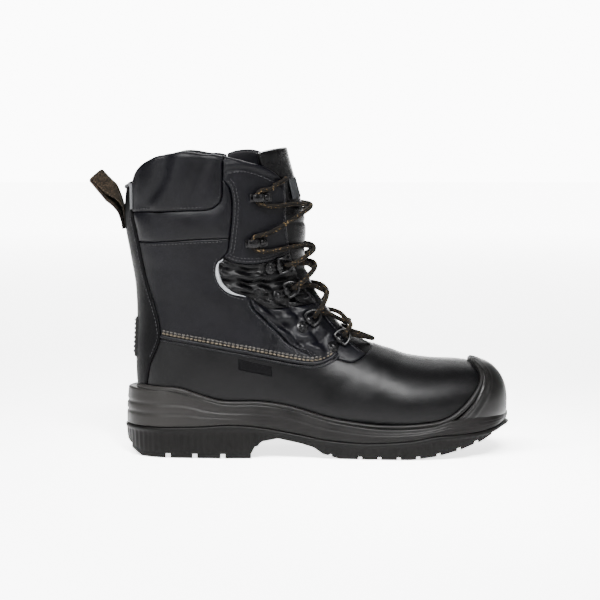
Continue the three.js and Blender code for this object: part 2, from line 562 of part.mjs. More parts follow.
function roundHook(m, up) {
  const h = 1.5 + 0.4 + LACE_R;
  return [
    [9, -6.9], [2.5, -5.9], [-0.8, -5.0], [-2.8, -2.7], [-3.2, 0], [-2.8, 2.7], [-0.8, 5.0], [2.5, 5.9],
    [9, 6.9]].map(([t, e], i) => local(m, t, e * up, h + (i === 0 || i === 8 ? 0.6 : 0)));
}

// height of the two strands over the middle of the tongue
const OVER = 9.2;
const UNDER = 3.8;
const EDGE_CLEAR = 4.2;
function crossing(a, b, height) {
  const from = locate(a.x, a.z, Math.sign(a.y));
  const to = locate(b.x, b.z, Math.sign(b.y));
  const rise = (p, at) => p.clone().sub(skinPoint(at.u, at.phi)).dot(skinNormal(at.u, at.phi));
  const ends = [rise(a, from), rise(b, to)];
  return [0.22, 0.5, 0.78].map((f) => {
    const u = from.u + (to.u - from.u) * f;
    const phi = from.phi + (to.phi - from.phi) * f;
    const end = f < 0.5 ? ends[0] : ends[1];
    const h = f === 0.5 ? height : Math.max((end + height) / 2, EDGE_CLEAR);
    return skinPoint(u, phi).addScaledVector(skinNormal(u, phi), h);
  });
}

const upSign = (m) => (new THREE.Vector3(0, 1, 0).transformDirection(m).z > 0 ? 1 : -1);
function station(side, i) {
  const m = frames[side][i];
  return i < RINGS.length ? throughRing(m, upSign(m)) : roundHook(m, upSign(m));
}

function laceHalf(firstSide, heights) {
  const pts = [];
  let side = firstSide;
  for (let i = 0; i < RINGS.length + HOOKS.length; i += 1) {
    const s = station(side, i);
    if (i > 0) pts.push(...crossing(pts[pts.length - 1], s[0], heights[i - 1]));
    pts.push(...s);
    side = -side;
  }
  return pts;
}

const startLat = laceHalf(LAT, [OVER, UNDER, OVER, UNDER, OVER]);
const startMed = laceHalf(MED, [UNDER, OVER, UNDER, OVER, UNDER]);
const low = skinPoint(8.6, 0).addScaledVector(skinNormal(8.6, 0), 3.2);
const tail = (side) => [
  onSkin(-22, 214, side, FACING_PROUD + 3), onSkin(-17.5, 215.5, side, FACING_PROUD + 2.4)];
const sideOf = (run) => (run[run.length - 1].y < 0 ? LAT : MED);
const endOf = { lat: tail(sideOf(startLat)), med: tail(sideOf(startMed)) };
const laceLine = [...endOf.lat].reverse().concat([...startLat].reverse(), [low], startMed, endOf.med);
addSolid('lace', toSolid(tube(laceLine, LACE_R, 6, 190)), LACE_CLOTH);

export default boot;
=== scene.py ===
import math

import bmesh
import bpy
import numpy as np
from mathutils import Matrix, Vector
from mathutils.geometry import delaunay_2d_cdt
from mathutils.kdtree import KDTree


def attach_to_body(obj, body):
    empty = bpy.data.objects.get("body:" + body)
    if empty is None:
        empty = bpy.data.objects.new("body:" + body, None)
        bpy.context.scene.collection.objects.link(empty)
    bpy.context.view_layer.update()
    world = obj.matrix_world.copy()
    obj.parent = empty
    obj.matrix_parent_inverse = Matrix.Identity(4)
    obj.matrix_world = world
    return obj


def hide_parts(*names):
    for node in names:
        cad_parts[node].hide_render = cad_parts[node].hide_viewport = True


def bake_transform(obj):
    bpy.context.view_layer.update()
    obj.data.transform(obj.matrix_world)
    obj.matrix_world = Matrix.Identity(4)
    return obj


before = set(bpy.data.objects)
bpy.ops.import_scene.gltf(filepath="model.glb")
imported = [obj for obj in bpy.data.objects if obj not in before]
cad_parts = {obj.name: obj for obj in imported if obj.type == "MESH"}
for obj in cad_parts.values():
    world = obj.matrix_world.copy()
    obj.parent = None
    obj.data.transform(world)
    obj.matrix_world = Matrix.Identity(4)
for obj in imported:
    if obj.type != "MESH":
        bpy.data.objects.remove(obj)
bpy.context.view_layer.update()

MM = 0.001
SIDES = ((-1, "lateral"), (1, "medial"))


def place(name, data):
    """A new object in the scene"""
    o = bpy.data.objects.new(name, data)
    bpy.context.collection.objects.link(o)
    return o


def point_at(o, loc, target):
    o.location = loc
    o.rotation_mode = "QUATERNION"
    o.rotation_quaternion = (Vector(target) - Vector(loc)).to_track_quat("-Z", "Y")


# ---------------------------------------------------------------- camera and node helpers
cam_data = bpy.data.cameras.new("camera")
cam_data.lens = 128.4
cam_data.sensor_width = 36
cam_data.clip_end = 30
cam = place("camera", cam_data)
point_at(cam, (-0.0008, -1.7, 0.26), (-0.0008, 0, 0.1207))
bpy.context.scene.camera = cam


def node(tree, kind, **inputs):
    n = tree.nodes.new(kind)
    for key, value in inputs.items():
        n.inputs[key.replace("_", " ")].default_value = value
    return n


def coords(tree, kind="Object"):
    return tree.nodes.new("ShaderNodeTexCoord").outputs[kind]


def position(tree, axis, kind="Object"):
    """The x, y or z (0, 1 or 2) of the coordinates, in metres for Object"""
    split = node(tree, "ShaderNodeSeparateXYZ")
    tree.links.new(coords(tree, kind), split.inputs[0])
    return split.outputs[axis]


def mapped(tree, source, low, high, at_low, at_high):
    """The source taken from low..high to at_low..at_high"""
    n = node(tree, "ShaderNodeMapRange", From_Min=low, From_Max=high, To_Min=at_low, To_Max=at_high)
    tree.links.new(source, n.inputs[0])
    return n


def texture(tree, kind, at, **inputs):
    n = node(tree, "ShaderNodeTex" + kind, **inputs)
    tree.links.new(at, n.inputs["Vector"])
    return n


def ramp(tree, source, low, high, c0, c1, into=None):
    r = tree.nodes.new("ShaderNodeValToRGB")
    first, second = r.color_ramp.elements
    first.position, second.position = low, high
    first.color, second.color = (*c0, 1), (*c1, 1)
    tree.links.new(source, r.inputs[0])
    if into is not None:
        tree.links.new(r.outputs[0], into)
    return r.outputs[0]


def tinted(tree, factor, source, colour):
    """The source, turned to the colour where the factor is 1"""
    mix = tree.nodes.new("ShaderNodeMixRGB")
    tree.links.new(factor, mix.inputs[0])
    tree.links.new(source, mix.inputs[1])
    mix.inputs[2].default_value = (*colour, 1)
    return mix.outputs[0]


def bump(tree, source, strength, distance, normal=None):
    b = node(tree, "ShaderNodeBump", Strength=strength, Distance=distance)
    tree.links.new(source, b.inputs["Height"])
    if normal is not None:
        tree.links.new(normal, b.inputs["Normal"])
    return b.outputs[0]


def grey(v):
    return (v, v, v)


# ---------------------------------------------------------------- light and background
world = bpy.data.worlds.new("studio")
bpy.context.scene.world = world
world.use_nodes = True
sky = world.node_tree.nodes["Background"]
sky.inputs[0].default_value = (1, 1, 1, 1)
# dim all round, so that the black leather stays dark, and bright straight behind the boot
backdrop = mapped(world.node_tree, position(world.node_tree, 1, "Generated"), 0.93, 0.98, 0.5, 11.0)
backdrop.interpolation_type = "SMOOTHSTEP"
world.node_tree.links.new(backdrop.outputs[0], sky.inputs[1])


def area_light(name, loc, target, size, power, spread=180):
    data = bpy.data.lights.new(name, "AREA")
    data.shape = "RECTANGLE"
    data.size, data.size_y = size
    data.energy = power
    data.spread = math.radians(spread)
    point_at(place(name, data), loc, target)


area_light("key", (-0.45, -0.85, 1.45), (-0.02, 0, 0.1), (1.3, 0.7), 170)
area_light("vamp light", (0.24, -0.95, 1.0), (0.06, 0, 0.05), (0.35, 0.5), 3.4, spread=26)
area_light("side light", (-1.0, -1.15, 0.5), (-0.08, 0, 0.16), (0.3, 0.7), 18)
area_light("fill", (1.5, -0.7, 0.8), (0.05, 0, 0.1), (0.5, 0.9), 14)
area_light("back", (0.1, 1.3, 1.2), (0, 0, 0.12), (1.4, 0.6), 12)


# ---------------------------------------------------------------- node materials
BLACK, WHITE = grey(0), grey(1)


def new_material(name, base, rough, metallic=0.0, ior=1.5):
    m = bpy.data.materials.new(name)
    m.use_nodes = True
    b = m.node_tree.nodes["Principled BSDF"]
    b.inputs["Base Color"].default_value = (*base, 1)
    b.inputs["Roughness"].default_value = rough
    b.inputs["Metallic"].default_value = metallic
    b.inputs["IOR"].default_value = ior
    return m, m.node_tree, b


def leather(name, dark, light, rough_low, rough_high, grain=1.0, ior=1.15):
    """Cells of fine grain over broader unevenness, in duller and shinier patches"""
    m, t, b = new_material(name, dark, 0.45, ior=ior)
    at = coords(t)
    patches = texture(t, "Noise", at, Scale=38.0, Detail=4.0, Roughness=0.6).outputs[0]
    ramp(t, patches, 0.3, 0.72, dark, light, b.inputs["Base Color"])
    ramp(t, patches, 0.3, 0.7, grey(rough_low), grey(rough_high), b.inputs["Roughness"])
    wobble = texture(t, "Noise", at, Scale=420.0, Detail=3.0)
    bent = node(t, "ShaderNodeVectorMath")
    bent.operation = "MULTIPLY_ADD"
    bent.inputs[1].default_value = grey(0.0016)
    t.links.new(wobble.outputs[1], bent.inputs[0])
    t.links.new(at, bent.inputs[2])
    cells = texture(t, "Voronoi", bent.outputs[0], Scale=820.0)
    cells.feature = "DISTANCE_TO_EDGE"
    creases = ramp(t, cells.outputs["Distance"], 0.0, 0.16, BLACK, WHITE)
    fine = bump(t, creases, 0.32 * grain, 0.00018)
    broad = texture(t, "Noise", at, Scale=95.0, Detail=5.0, Roughness=0.55)
    t.links.new(bump(t, broad.outputs[0], 0.22 * grain, 0.0011, fine), b.inputs["Normal"])
    return m


def rubber(name, dark, light, rough, ior=1.15, heel=None):
    """Matt rubber; heel is the lighter colour that it fades to at the back of the boot, a painted highlight for the
    light that falls on the heel
    """
    m, t, b = new_material(name, dark, rough, ior=ior)
    at = coords(t)
    cloud = texture(t, "Noise", at, Scale=60.0, Detail=6.0, Roughness=0.65).outputs[0]
    colour = ramp(t, cloud, 0.35, 0.75, dark, light)
    if heel:
        # painted highlight: the colour turns lighter towards the back of the boot
        colour = tinted(t, mapped(t, position(t, 0), -0.02, -0.11, 0, 1).outputs[0], colour, heel)
    t.links.new(colour, b.inputs["Base Color"])
    ramp(t, cloud, 0.3, 0.7, grey(rough - 0.06), grey(rough + 0.1), b.inputs["Roughness"])
    fine = texture(t, "Noise", at, Scale=1500.0, Detail=3.0)
    t.links.new(bump(t, fine.outputs[0], 0.25, 0.00012), b.inputs["Normal"])
    return m


def woven(name, dark, light, scale, fleck=None, amount=0.62, kind="Object", size=640.0, above=None,
          rough=0.85):
    """Diagonal weave with flecks of a second colour. above is the heights, in metres, between which they set in."""
    m, t, b = new_material(name, dark, rough, ior=1.1)
    wave = texture(t, "Wave", coords(t, kind), Scale=scale, Distortion=0.6)
    wave.wave_type = "BANDS"
    wave.bands_direction = "DIAGONAL"
    weave = wave.outputs["Fac"]
    colour = ramp(t, weave, 0.25, 0.8, dark, light)
    if fleck:
        spots = texture(t, "Noise", coords(t), Scale=size, Detail=1.0)
        mask = ramp(t, spots.outputs[0], amount, amount + 0.05, BLACK, WHITE)
        if above:
            less = node(t, "ShaderNodeMath")
            less.operation = "MULTIPLY"
            t.links.new(mask, less.inputs[0])
            ramp(t, position(t, 2), *above, BLACK, WHITE, less.inputs[1])
            mask = less.outputs[0]
        colour = tinted(t, mask, colour, fleck)
    t.links.new(colour, b.inputs["Base Color"])
    t.links.new(bump(t, weave, 0.5, 0.0003), b.inputs["Normal"])
    return m


def metal(name, base, rough, metallic=1.0, worn=None, ior=1.4):
    m, t, b = new_material(name, base, rough, metallic, ior)
    cloud = texture(t, "Noise", coords(t), Scale=260.0, Detail=5.0, Roughness=0.7).outputs[0]
    ramp(t, cloud, 0.35, 0.7, grey(rough - 0.08), grey(rough + 0.14), b.inputs["Roughness"])
    if worn:
        ramp(t, cloud, 0.58, 0.72, base, worn, b.inputs["Base Color"])
    t.links.new(bump(t, cloud, 0.12, 0.0002), b.inputs["Normal"])
    return m


LEATHER = leather("satin black leather", (0.0002, 0.0002, 0.00045), (0.0005, 0.0005, 0.001), 0.3, 0.46)
SOFT = leather("soft black leather", (0.0001, 0.0001, 0.00015), (0.0002, 0.0002, 0.0003), 0.22, 0.34, 1.2)
DULL = leather("duller black leather", (0.0002, 0.0002, 0.00028), (0.0005, 0.0005, 0.00065), 0.44, 0.58,
               ior=1.09)
SMOOTH = leather("smooth vamp leather", (0.0003, 0.0003, 0.00038), (0.0006, 0.0006, 0.00072), 0.28, 0.4, 0.7)
# the heel colour is a painted highlight on the back of the sole
RUBBER = rubber("dark sole rubber", (0.001, 0.00094, 0.0009), (0.0024, 0.0022, 0.0021), 0.44,
                heel=(0.0058, 0.0055, 0.0052))
TREAD = rubber("tread rubber", (0.0005, 0.00047, 0.00043), (0.0015, 0.0014, 0.0013), 0.48, ior=1.13)
SCUFF = rubber("scuff cap rubber", (0.0007, 0.0007, 0.00065), (0.0016, 0.0015, 0.0014), 0.36, ior=1.19)
LINER = woven("mesh lining", (0.004, 0.004, 0.0044), (0.018, 0.018, 0.019), 900.0)
LACE_MAT = woven("flecked lace", (0.0007, 0.0006, 0.0006), (0.004, 0.0034, 0.0027), 10.0,
                 fleck=(0.055, 0.038, 0.019), amount=0.64, kind="UV")
WEBBING = woven("loop webbing", (0.0008, 0.0007, 0.0006), (0.004, 0.0033, 0.0026), 30.0,
                fleck=(0.03, 0.022, 0.0145), amount=0.55, kind="UV", size=1500.0, above=(0.188, 0.21))
SILVER = woven("silver reflective tape", (0.07, 0.072, 0.076), (0.18, 0.186, 0.195), 40.0, kind="UV",
               rough=0.35)
GREY_TAPE = woven("grey binding", (0.02, 0.0205, 0.0215), (0.06, 0.061, 0.063), 40.0, kind="UV")
LABEL = woven("label cloth", (0.005, 0.0053, 0.0058), (0.017, 0.0175, 0.0185), 1500.0)
TAG = woven("tag cloth", (0.0005, 0.0005, 0.0006), (0.0012, 0.0012, 0.0014), 1500.0)
BLACK_METAL = metal("black enamelled metal", (0.0004, 0.0004, 0.0005), 0.26, metallic=0.0,
                    worn=(0.003, 0.0027, 0.0024), ior=1.19)
STEEL = metal("bare steel", (0.5, 0.5, 0.51), 0.35)
THREAD_DARK = woven("black thread", (0.005, 0.005, 0.0054), (0.018, 0.018, 0.019), 900.0)
THREAD_TAN = woven("tan thread", (0.02, 0.017, 0.013), (0.056, 0.047, 0.035), 900.0)
THREAD_GREY = woven("grey thread", (0.011, 0.0105, 0.0098), (0.035, 0.033, 0.03), 900.0)
BOARD = woven("pressed board", (0.12, 0.085, 0.05), (0.2, 0.15, 0.1), 600.0)
FOOTBED = woven("footbed cloth", (0.02, 0.02, 0.022), (0.07, 0.07, 0.075), 700.0)

PALE, floor_tree, floor_shader = new_material("pale floor", grey(0.93), 0.7)
floor_shader.inputs["Emission Color"].default_value = (1, 1, 1, 1)
# brighter with distance, so that it meets the background without a horizon
glow = mapped(floor_tree, position(floor_tree, 1), 0.4, 3.5, 2.4, 9.0)
floor_tree.links.new(glow.outputs[0], floor_shader.inputs["Emission Strength"])
HALF_FLOOR = 8.0
floor_mesh = bpy.data.meshes.new("floor")
corners = [(x * HALF_FLOOR, y * HALF_FLOOR, 0) for x, y in ((-1, -1), (1, -1), (1, 1), (-1, 1))]
floor_mesh.from_pydata(corners, [], [(0, 1, 2, 3)])
floor_mesh.materials.append(PALE)
floor = place("floor", floor_mesh)
floor.location.z = -0.0002

# ---------------------------------------------------------------- the boot's skin, in millimetres
# each row is one section of the boot, from the toe (u = 0) to the top of the shaft: top x, z; bottom x, z; half
# width; offset in y; how far up it is widest, as a share of its height; powers of its upper and lower halves
SECTIONS = np.array([
    [161.5, 42, 161.5, 42, 0.5, 4, 0.42, 2.2, 2.4],
    [160.3, 52, 160.3, 31.5, 14, 4, 0.42, 2.2, 2.4],
    [156.5, 60.5, 156.5, 26.5, 23.5, 4, 0.42, 2.2, 2.5],
    [149.5, 67.5, 149.5, 22.5, 31.5, 3.5, 0.41, 2.2, 2.6],
    [139, 71.5, 139, 20, 38.5, 3, 0.4, 2.2, 2.8],
    [122, 74, 123, 18, 44, 2, 0.38, 2.1, 3],
    [103, 75, 103, 17, 48, 0.5, 0.37, 2, 3],
    [84, 78, 81, 16.5, 49.5, -1, 0.36, 2, 3],
    [66, 84, 57, 17, 47.5, -1.5, 0.37, 2, 3],
    [50, 89.8, 30, 19, 44, -2, 0.38, 2, 3],
    [38, 97, 0, 22, 41, -2.5, 0.4, 2, 3],
    [28, 106.5, -32, 26, 40.5, -2.5, 0.42, 2, 3],
    [20, 117, -66, 29, 41, -2, 0.44, 2, 3],
    [12.5, 128, -98, 30, 42, -1.5, 0.46, 2, 2.9],
    [7, 139, -119, 34, 43, -1, 0.48, 2, 2.7],
    [3, 150, -128.5, 50, 44, 0, 0.5, 2, 2.5],
    [1.5, 162, -130.5, 76, 45, 0, 0.5, 2, 2.4],
    [1, 175, -129.5, 105, 46, 0, 0.5, 2, 2.3],
    [0, 188, -130.5, 134, 47, 0, 0.5, 2, 2.3],
    [-2, 202, -134.5, 158, 48.5, 0, 0.5, 2, 2.3],
    [-5, 218, -138.5, 182, 50, 0, 0.5, 2, 2.3],
    [-9, 234, -138, 206, 51, 0, 0.5, 2, 2.3],
    [-13, 252, -133, 236, 51.5, 0, 0.5, 2, 2.3]], float)
LAST = len(SECTIONS) - 1
PADDED = np.vstack([2 * SECTIONS[0] - SECTIONS[1], SECTIONS, 2 * SECTIONS[-1] - SECTIONS[-2]])


def section(u):
    u = np.clip(np.asarray(u, float), 0, LAST)
    i = np.minimum(u.astype(int), LAST - 1)
    f = (u - i)[..., None]
    p0, p1, p2, p3 = PADDED[i], PADDED[i + 1], PADDED[i + 2], PADDED[i + 3]
    a = 2 * p0 - 5 * p1 + 4 * p2 - p3
    b = -p0 + 3 * p1 - 3 * p2 + p3
    return 0.5 * (2 * p1 + (p2 - p0) * f + a * f * f + b * f ** 3)


def skin(u, phi):
    u = np.asarray(u, float)
    phi = np.asarray(phi, float)
    s = section(u)
    c, w = np.cos(phi), np.sin(phi)
    p = np.where(c >= 0, s[..., 7], s[..., 8])
    r = (np.abs(c) ** p + np.abs(w) ** p) ** (-1 / p)
    rise = (r * c)[..., None]
    top, low = s[..., 0:2], s[..., 2:4]
    mid = low + (top - low) * s[..., 6:7]
    xz = mid + np.where(rise >= 0, (top - mid) * rise, (mid - low) * rise)
    y = s[..., 5] + s[..., 4] * r * w
    return np.stack([xz[..., 0], y, xz[..., 1]], -1)


def normal(u, phi):
    e = 0.03
    a = skin(np.minimum(u + e, LAST), phi) - skin(np.maximum(u - e, 0.001), phi)
    b = skin(u, phi + e) - skin(u, phi - e)
    n = -np.cross(a, b)
    return n / (np.linalg.norm(n, axis=-1, keepdims=True) + 1e-12)


def off_skin(u, phi, h):
    return skin(u, phi) + normal(u, phi) * np.asarray(h)[..., None]


def kd_tree(points):
    tree = KDTree(len(points))
    for i, p in enumerate(points):
        tree.insert(p, i)
    tree.balance()
    return tree


GU, GP = np.meshgrid(np.arange(0.3, LAST + 0.001, 0.1), np.radians(np.arange(0, 180.5, 2)), indexing="ij")
GU, GP = GU.ravel(), GP.ravel()
SIDE_VIEW = kd_tree(skin(GU, GP) * [1, 0, 1])


def locate(points, side):
    """u and angle of the skin points seen at x, z on one side"""
    nearest = [SIDE_VIEW.find((x, 0, z))[1] for x, z in points]
    us, ps = GU[nearest], GP[nearest]
    xz = np.array(points, float)
    e = 0.01
    for _ in range(8):
        at = skin(us, ps)[:, [0, 2]]
        du = (skin(us + e, ps)[:, [0, 2]] - at) / e
        dp = (skin(us, ps + e)[:, [0, 2]] - at) / e
        miss = xz - at
        det = du[:, 0] * dp[:, 1] - du[:, 1] * dp[:, 0]
        safe = np.abs(det) > 2.0
        det = np.where(safe, det, 1)
        a = (miss[:, 0] * dp[:, 1] - miss[:, 1] * dp[:, 0]) / det
        b = (du[:, 0] * miss[:, 1] - du[:, 1] * miss[:, 0]) / det
        us = np.where(safe, np.clip(us + np.clip(a, -0.2, 0.2), 0.3, LAST), us)
        ps = np.where(safe, np.clip(ps + np.clip(b, -0.08, 0.08), 0, math.pi), ps)
    return us, ps * side


# scaled section coordinate, so that one unit is about one millimetre
UF = np.linspace(0, LAST, 441)
tops, lows = section(UF)[:, 0:2], section(UF)[:, 2:4]
step_len = (np.linalg.norm(np.diff(tops, axis=0), axis=1) + np.linalg.norm(np.diff(lows, axis=0), axis=1)) / 2
SF = np.concatenate([[0], np.cumsum(step_len)])
TURN = 46.0


def to_flat(u, phi):
    return np.stack([np.interp(u, UF, SF), np.asarray(phi) * TURN], -1)


def from_flat(q):
    return np.interp(q[:, 0], SF, UF), q[:, 1] / TURN


def smooth(points, spacing=1.6):
    """Catmull-Rom curve through side-view points, evenly sampled"""
    p = np.array(points, float)
    p = np.vstack([2 * p[0] - p[1], p, 2 * p[-1] - p[-2]])
    out = []
    for i in range(1, len(p) - 2):
        n = max(int(np.linalg.norm(p[i + 1] - p[i]) / spacing), 1)
        f = np.linspace(0, 1, n, endpoint=False)[:, None]
        a = 2 * p[i - 1] - 5 * p[i] + 4 * p[i + 1] - p[i + 2]
        b = -p[i - 1] + 3 * p[i] - 3 * p[i + 1] + p[i + 2]
        out.append(0.5 * (2 * p[i] + (p[i + 1] - p[i - 1]) * f + a * f ** 2 + b * f ** 3))
    out.append(p[-2][None])
    return np.vstack(out)


def near_line(xz, line):
    """distance in the side view to a line"""
    best = np.full(len(xz), 1e9)
    for a, b in zip(line[:-1], line[1:]):
        d = b - a
        t = np.clip(((xz - a) @ d) / (d @ d + 1e-12), 0, 1)
        best = np.minimum(best, np.linalg.norm(xz - a - t[:, None] * d, axis=1))
    return best


def inside(points, loop):
    x, y = points[:, 0], points[:, 1]
    hit = np.zeros(len(points), bool)
    for (x0, y0), (x1, y1) in zip(loop, np.roll(loop, -1, axis=0)):
        cross = (y0 > y) != (y1 > y)
        with np.errstate(divide="ignore", invalid="ignore"):
            hit ^= cross & (x < (x1 - x0) * (y - y0) / (y1 - y0 + 1e-15) + x0)
    return hit


def rng(seed):
    return np.random.default_rng(seed)


def unit(v):
    return v / (np.linalg.norm(v, axis=-1, keepdims=True) + 1e-9)


def left_of(line):
    """Unit vectors to the left of a 2-D line"""
    t = unit(np.gradient(line, axis=0))
    return np.stack([-t[:, 1], t[:, 0]], -1)


def pairs(u, phi):
    return np.stack(np.broadcast_arrays(u, phi), -1)


def travelled(points):
    """Length along a line, from its start to each point"""
    return np.concatenate([[0], np.cumsum(np.linalg.norm(np.diff(points, axis=0), axis=1))])


# ---------------------------------------------------------------- mesh helpers
def grid_faces(rows, cols, around=False, along=False):
    """Quads over rows of points, closed round each row or from the last row to the first if asked"""
    return [[i * cols + k, i * cols + (k + 1) % cols, (i + 1) % rows * cols + (k + 1) % cols,
             (i + 1) % rows * cols + k]
            for i in range(rows if along else rows - 1) for k in range(cols if around else cols - 1)]


def tube_faces(rows, sides):
    """A tube of rings with both ends capped"""
    last = (rows - 1) * sides
    return grid_faces(rows, sides, around=True) + [list(range(sides))[::-1], [last + k for k in range(sides)]]


def add_mesh(name, verts, faces, material, uvs=None, outward=True):
    """A smooth mesh from points in mm; outward turns its normals out"""
    me = bpy.data.meshes.new(name)
    me.from_pydata((np.asarray(verts, float) * MM).tolist(), [], [list(map(int, f)) for f in faces])
    me.validate()
    if uvs is not None:
        layer = me.uv_layers.new(name="UVMap")
        idx = np.empty(len(me.loops), int)
        me.loops.foreach_get("vertex_index", idx)
        layer.data.foreach_set("uv", np.asarray(uvs, float)[idx].ravel())
    me.materials.append(material)
    me.shade_smooth()
    me.update()
    if outward:
        bm = bmesh.new()
        bm.from_mesh(me)
        bmesh.ops.recalc_face_normals(bm, faces=bm.faces)
        bm.to_mesh(me)
        bm.free()
        me.update()
    return place(name, me)


def apply_modifiers(o):
    bpy.context.view_layer.update()
    deps = bpy.context.evaluated_depsgraph_get()
    me = bpy.data.meshes.new_from_object(o.evaluated_get(deps))
    o.modifiers.clear()
    o.data = me


def thicken(o, thickness):
    solid = o.modifiers.new("solid", "SOLIDIFY")
    solid.thickness = thickness
    return o


def attach(o, replaced, body="boot"):
    """What a piece stands for, whose CAD part it hides, and the body it moves with"""
    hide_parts(replaced)
    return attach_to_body(o, body)


INNER = -5.2  # the inner face of the collar, measured from the skin
ROLL_STEPS = 9
LINING_DEPTHS = (3, 8, 14, 20)


def triangulate(flat, spacing):
    """Triangles inside a closed flat loop, finest along its edge: points, faces and the new number of each
    point of the loop"""
    n = len(flat)
    tangent = unit(np.roll(flat, -1, axis=0) - np.roll(flat, 1, axis=0))
    inward = np.stack([-tangent[:, 1], tangent[:, 0]], -1)
    lo, hi = flat.min(0), flat.max(0)
    gx, gy = np.meshgrid(np.arange(lo[0], hi[0], spacing), np.arange(lo[1], hi[1], spacing * 0.92),
                         indexing="ij")
    gx[:, ::2] += spacing / 2
    more = np.vstack([flat + inward * 0.45, flat + inward, np.stack([gx.ravel(), gy.ravel()], -1)])
    more = more[inside(more, flat)]
    more = more[near_line(more, np.vstack([flat, flat[:1]])) > 0.38]
    points = [Vector(p) for p in np.vstack([flat, more]).tolist()]
    made = delaunay_2d_cdt(points, [(i, (i + 1) % n) for i in range(n)], [list(range(n))], 1, 1e-4)
    number = {k: i for i, ids in enumerate(made[3]) for k in ids}
    return np.array([[v.x, v.y] for v in made[0]]), [list(f) for f in made[2]], number


def patch(name, loop, material, height, spacing=1.8, skirt=-1.6, top=None):
    """A panel on the skin. loop is (u, angle) round its edge; height(xyz, edge distance) is in mm.
    top marks the stretch of the loop that rolls over the collar and down inside it."""
    flat = to_flat(loop[:, 0], loop[:, 1])
    keep = np.linalg.norm(flat - np.roll(flat, 1, axis=0), axis=1) > 0.25
    is_top = np.asarray(top)[keep] if top is not None else np.zeros(keep.sum(), bool)
    flat = flat[keep]
    area = np.sum(flat[:, 0] * np.roll(flat[:, 1], -1) - np.roll(flat[:, 0], -1) * flat[:, 1])
    if area < 0:
        flat, is_top = flat[::-1], is_top[::-1]
    q, faces, number = triangulate(flat, spacing)
    edge = [number[k] for k in range(len(flat)) if k in number]
    tops = {number[k] for k in range(len(flat)) if is_top[k] and k in number}
    u, phi = from_flat(q)
    xyz, nrm = skin(u, phi), normal(u, phi)
    rim = kd_tree(skin(*from_flat(flat))[~is_top])
    dist = np.array([rim.find(p)[2] for p in xyz])
    dist[[i for i in edge if i not in tops]] = 0
    h = height(xyz, dist)
    # edge wall down to the layer below
    m, base = len(edge), len(q)
    verts = np.vstack([off_skin(u, phi, h), xyz[edge] + nrm[edge] * skirt])
    uv = to_flat(u, phi)
    uv = np.vstack([uv, uv[edge]])
    for k in range(m):
        a, b = edge[k], edge[(k + 1) % m]
        if not (a in tops and b in tops):
            faces.append([a, base + k, base + (k + 1) % m, b])
    if tops:
        order = [k for k in range(m) if edge[k] in tops]
        # start the chain after the break
        if order[0] == 0 and order[-1] == m - 1:
            cut = next(j for j in range(1, len(order)) if order[j] != order[j - 1] + 1)
            order = order[cut:] + order[:cut]
        chain = [edge[k] for k in order]
        out = nrm[chain]
        up = skin(u[chain] + 0.05, phi[chain]) - skin(u[chain] - 0.05, phi[chain])
        up -= out * np.sum(up * out, axis=1, keepdims=True)
        up /= np.linalg.norm(up, axis=1, keepdims=True)
        radius, mid = (h[chain] - INNER) / 2, (h[chain] + INNER) / 2
        rings = [(mid + radius * math.cos(a), radius * math.sin(a), a * 4)
                 for a in np.linspace(0, math.pi, ROLL_STEPS)[1:]]
        inner = np.full(len(chain), INNER)
        rings += [(inner, np.full(len(chain), -depth), 12 + depth) for depth in LINING_DEPTHS]
        rows = [chain]
        for across, rise, run in rings:
            rows.append(list(range(len(verts), len(verts) + len(chain))))
            verts = np.vstack([verts, xyz[chain] + out * across[:, None] + up * rise[:, None]])
            uv = np.vstack([uv, uv[chain] + [run, 0]])
        for r0, r1 in zip(rows[:-1], rows[1:]):
            faces += [[r0[k], r0[k + 1], r1[k + 1], r1[k]] for k in range(len(chain) - 1)]
    return add_mesh(name, verts, faces, material, uv / 1000.0)


def plate(name, u, phi, h, shape, material):
    """A sheet that stands h mm off the skin, over a grid of places"""
    return add_mesh(name, off_skin(u, phi, h), grid_faces(*shape), material)


def rounded(dist, radius, power=2.0):
    t = np.clip(dist / radius, 0, 1)
    return (1 - (1 - t) ** power) ** (1 / power)


def sweep(name, pts, radius, material, sides=12, flat=1.0, closed=False, up=None):
    """A tube along points in mm; flat squeezes it across the up direction."""
    p = np.array(pts, float)
    n = len(p)
    t = unit(np.roll(p, -1, axis=0) - np.roll(p, 1, axis=0) if closed else np.gradient(p, axis=0))
    ups = np.zeros_like(p)
    last = np.array([0.0, 0, 1])
    for i in range(n):
        v = last if up is None else up[i]
        v = v - t[i] * np.dot(v, t[i])
        if np.linalg.norm(v) < 1e-6:
            v = np.cross(t[i], [1.0, 0, 0])
        ups[i] = last = v / np.linalg.norm(v)
    side = np.cross(t, ups)
    r = np.broadcast_to(np.asarray(radius, float), (n,))[:, None, None]
    ang = np.linspace(0, 2 * math.pi, sides, endpoint=False)
    c, s = np.cos(ang)[None, :, None], np.sin(ang)[None, :, None]
    verts = (p[:, None] + side[:, None] * (c * r) + ups[:, None] * (s * r * flat)).reshape(-1, 3)
    uv = pairs(travelled(p)[:, None], (ang / (2 * math.pi) * 10)[None, :]).reshape(-1, 2)
    faces = grid_faces(n, sides, True, True) if closed else tube_faces(n, sides)
    return add_mesh(name, verts, faces, material, uv / 10.0)


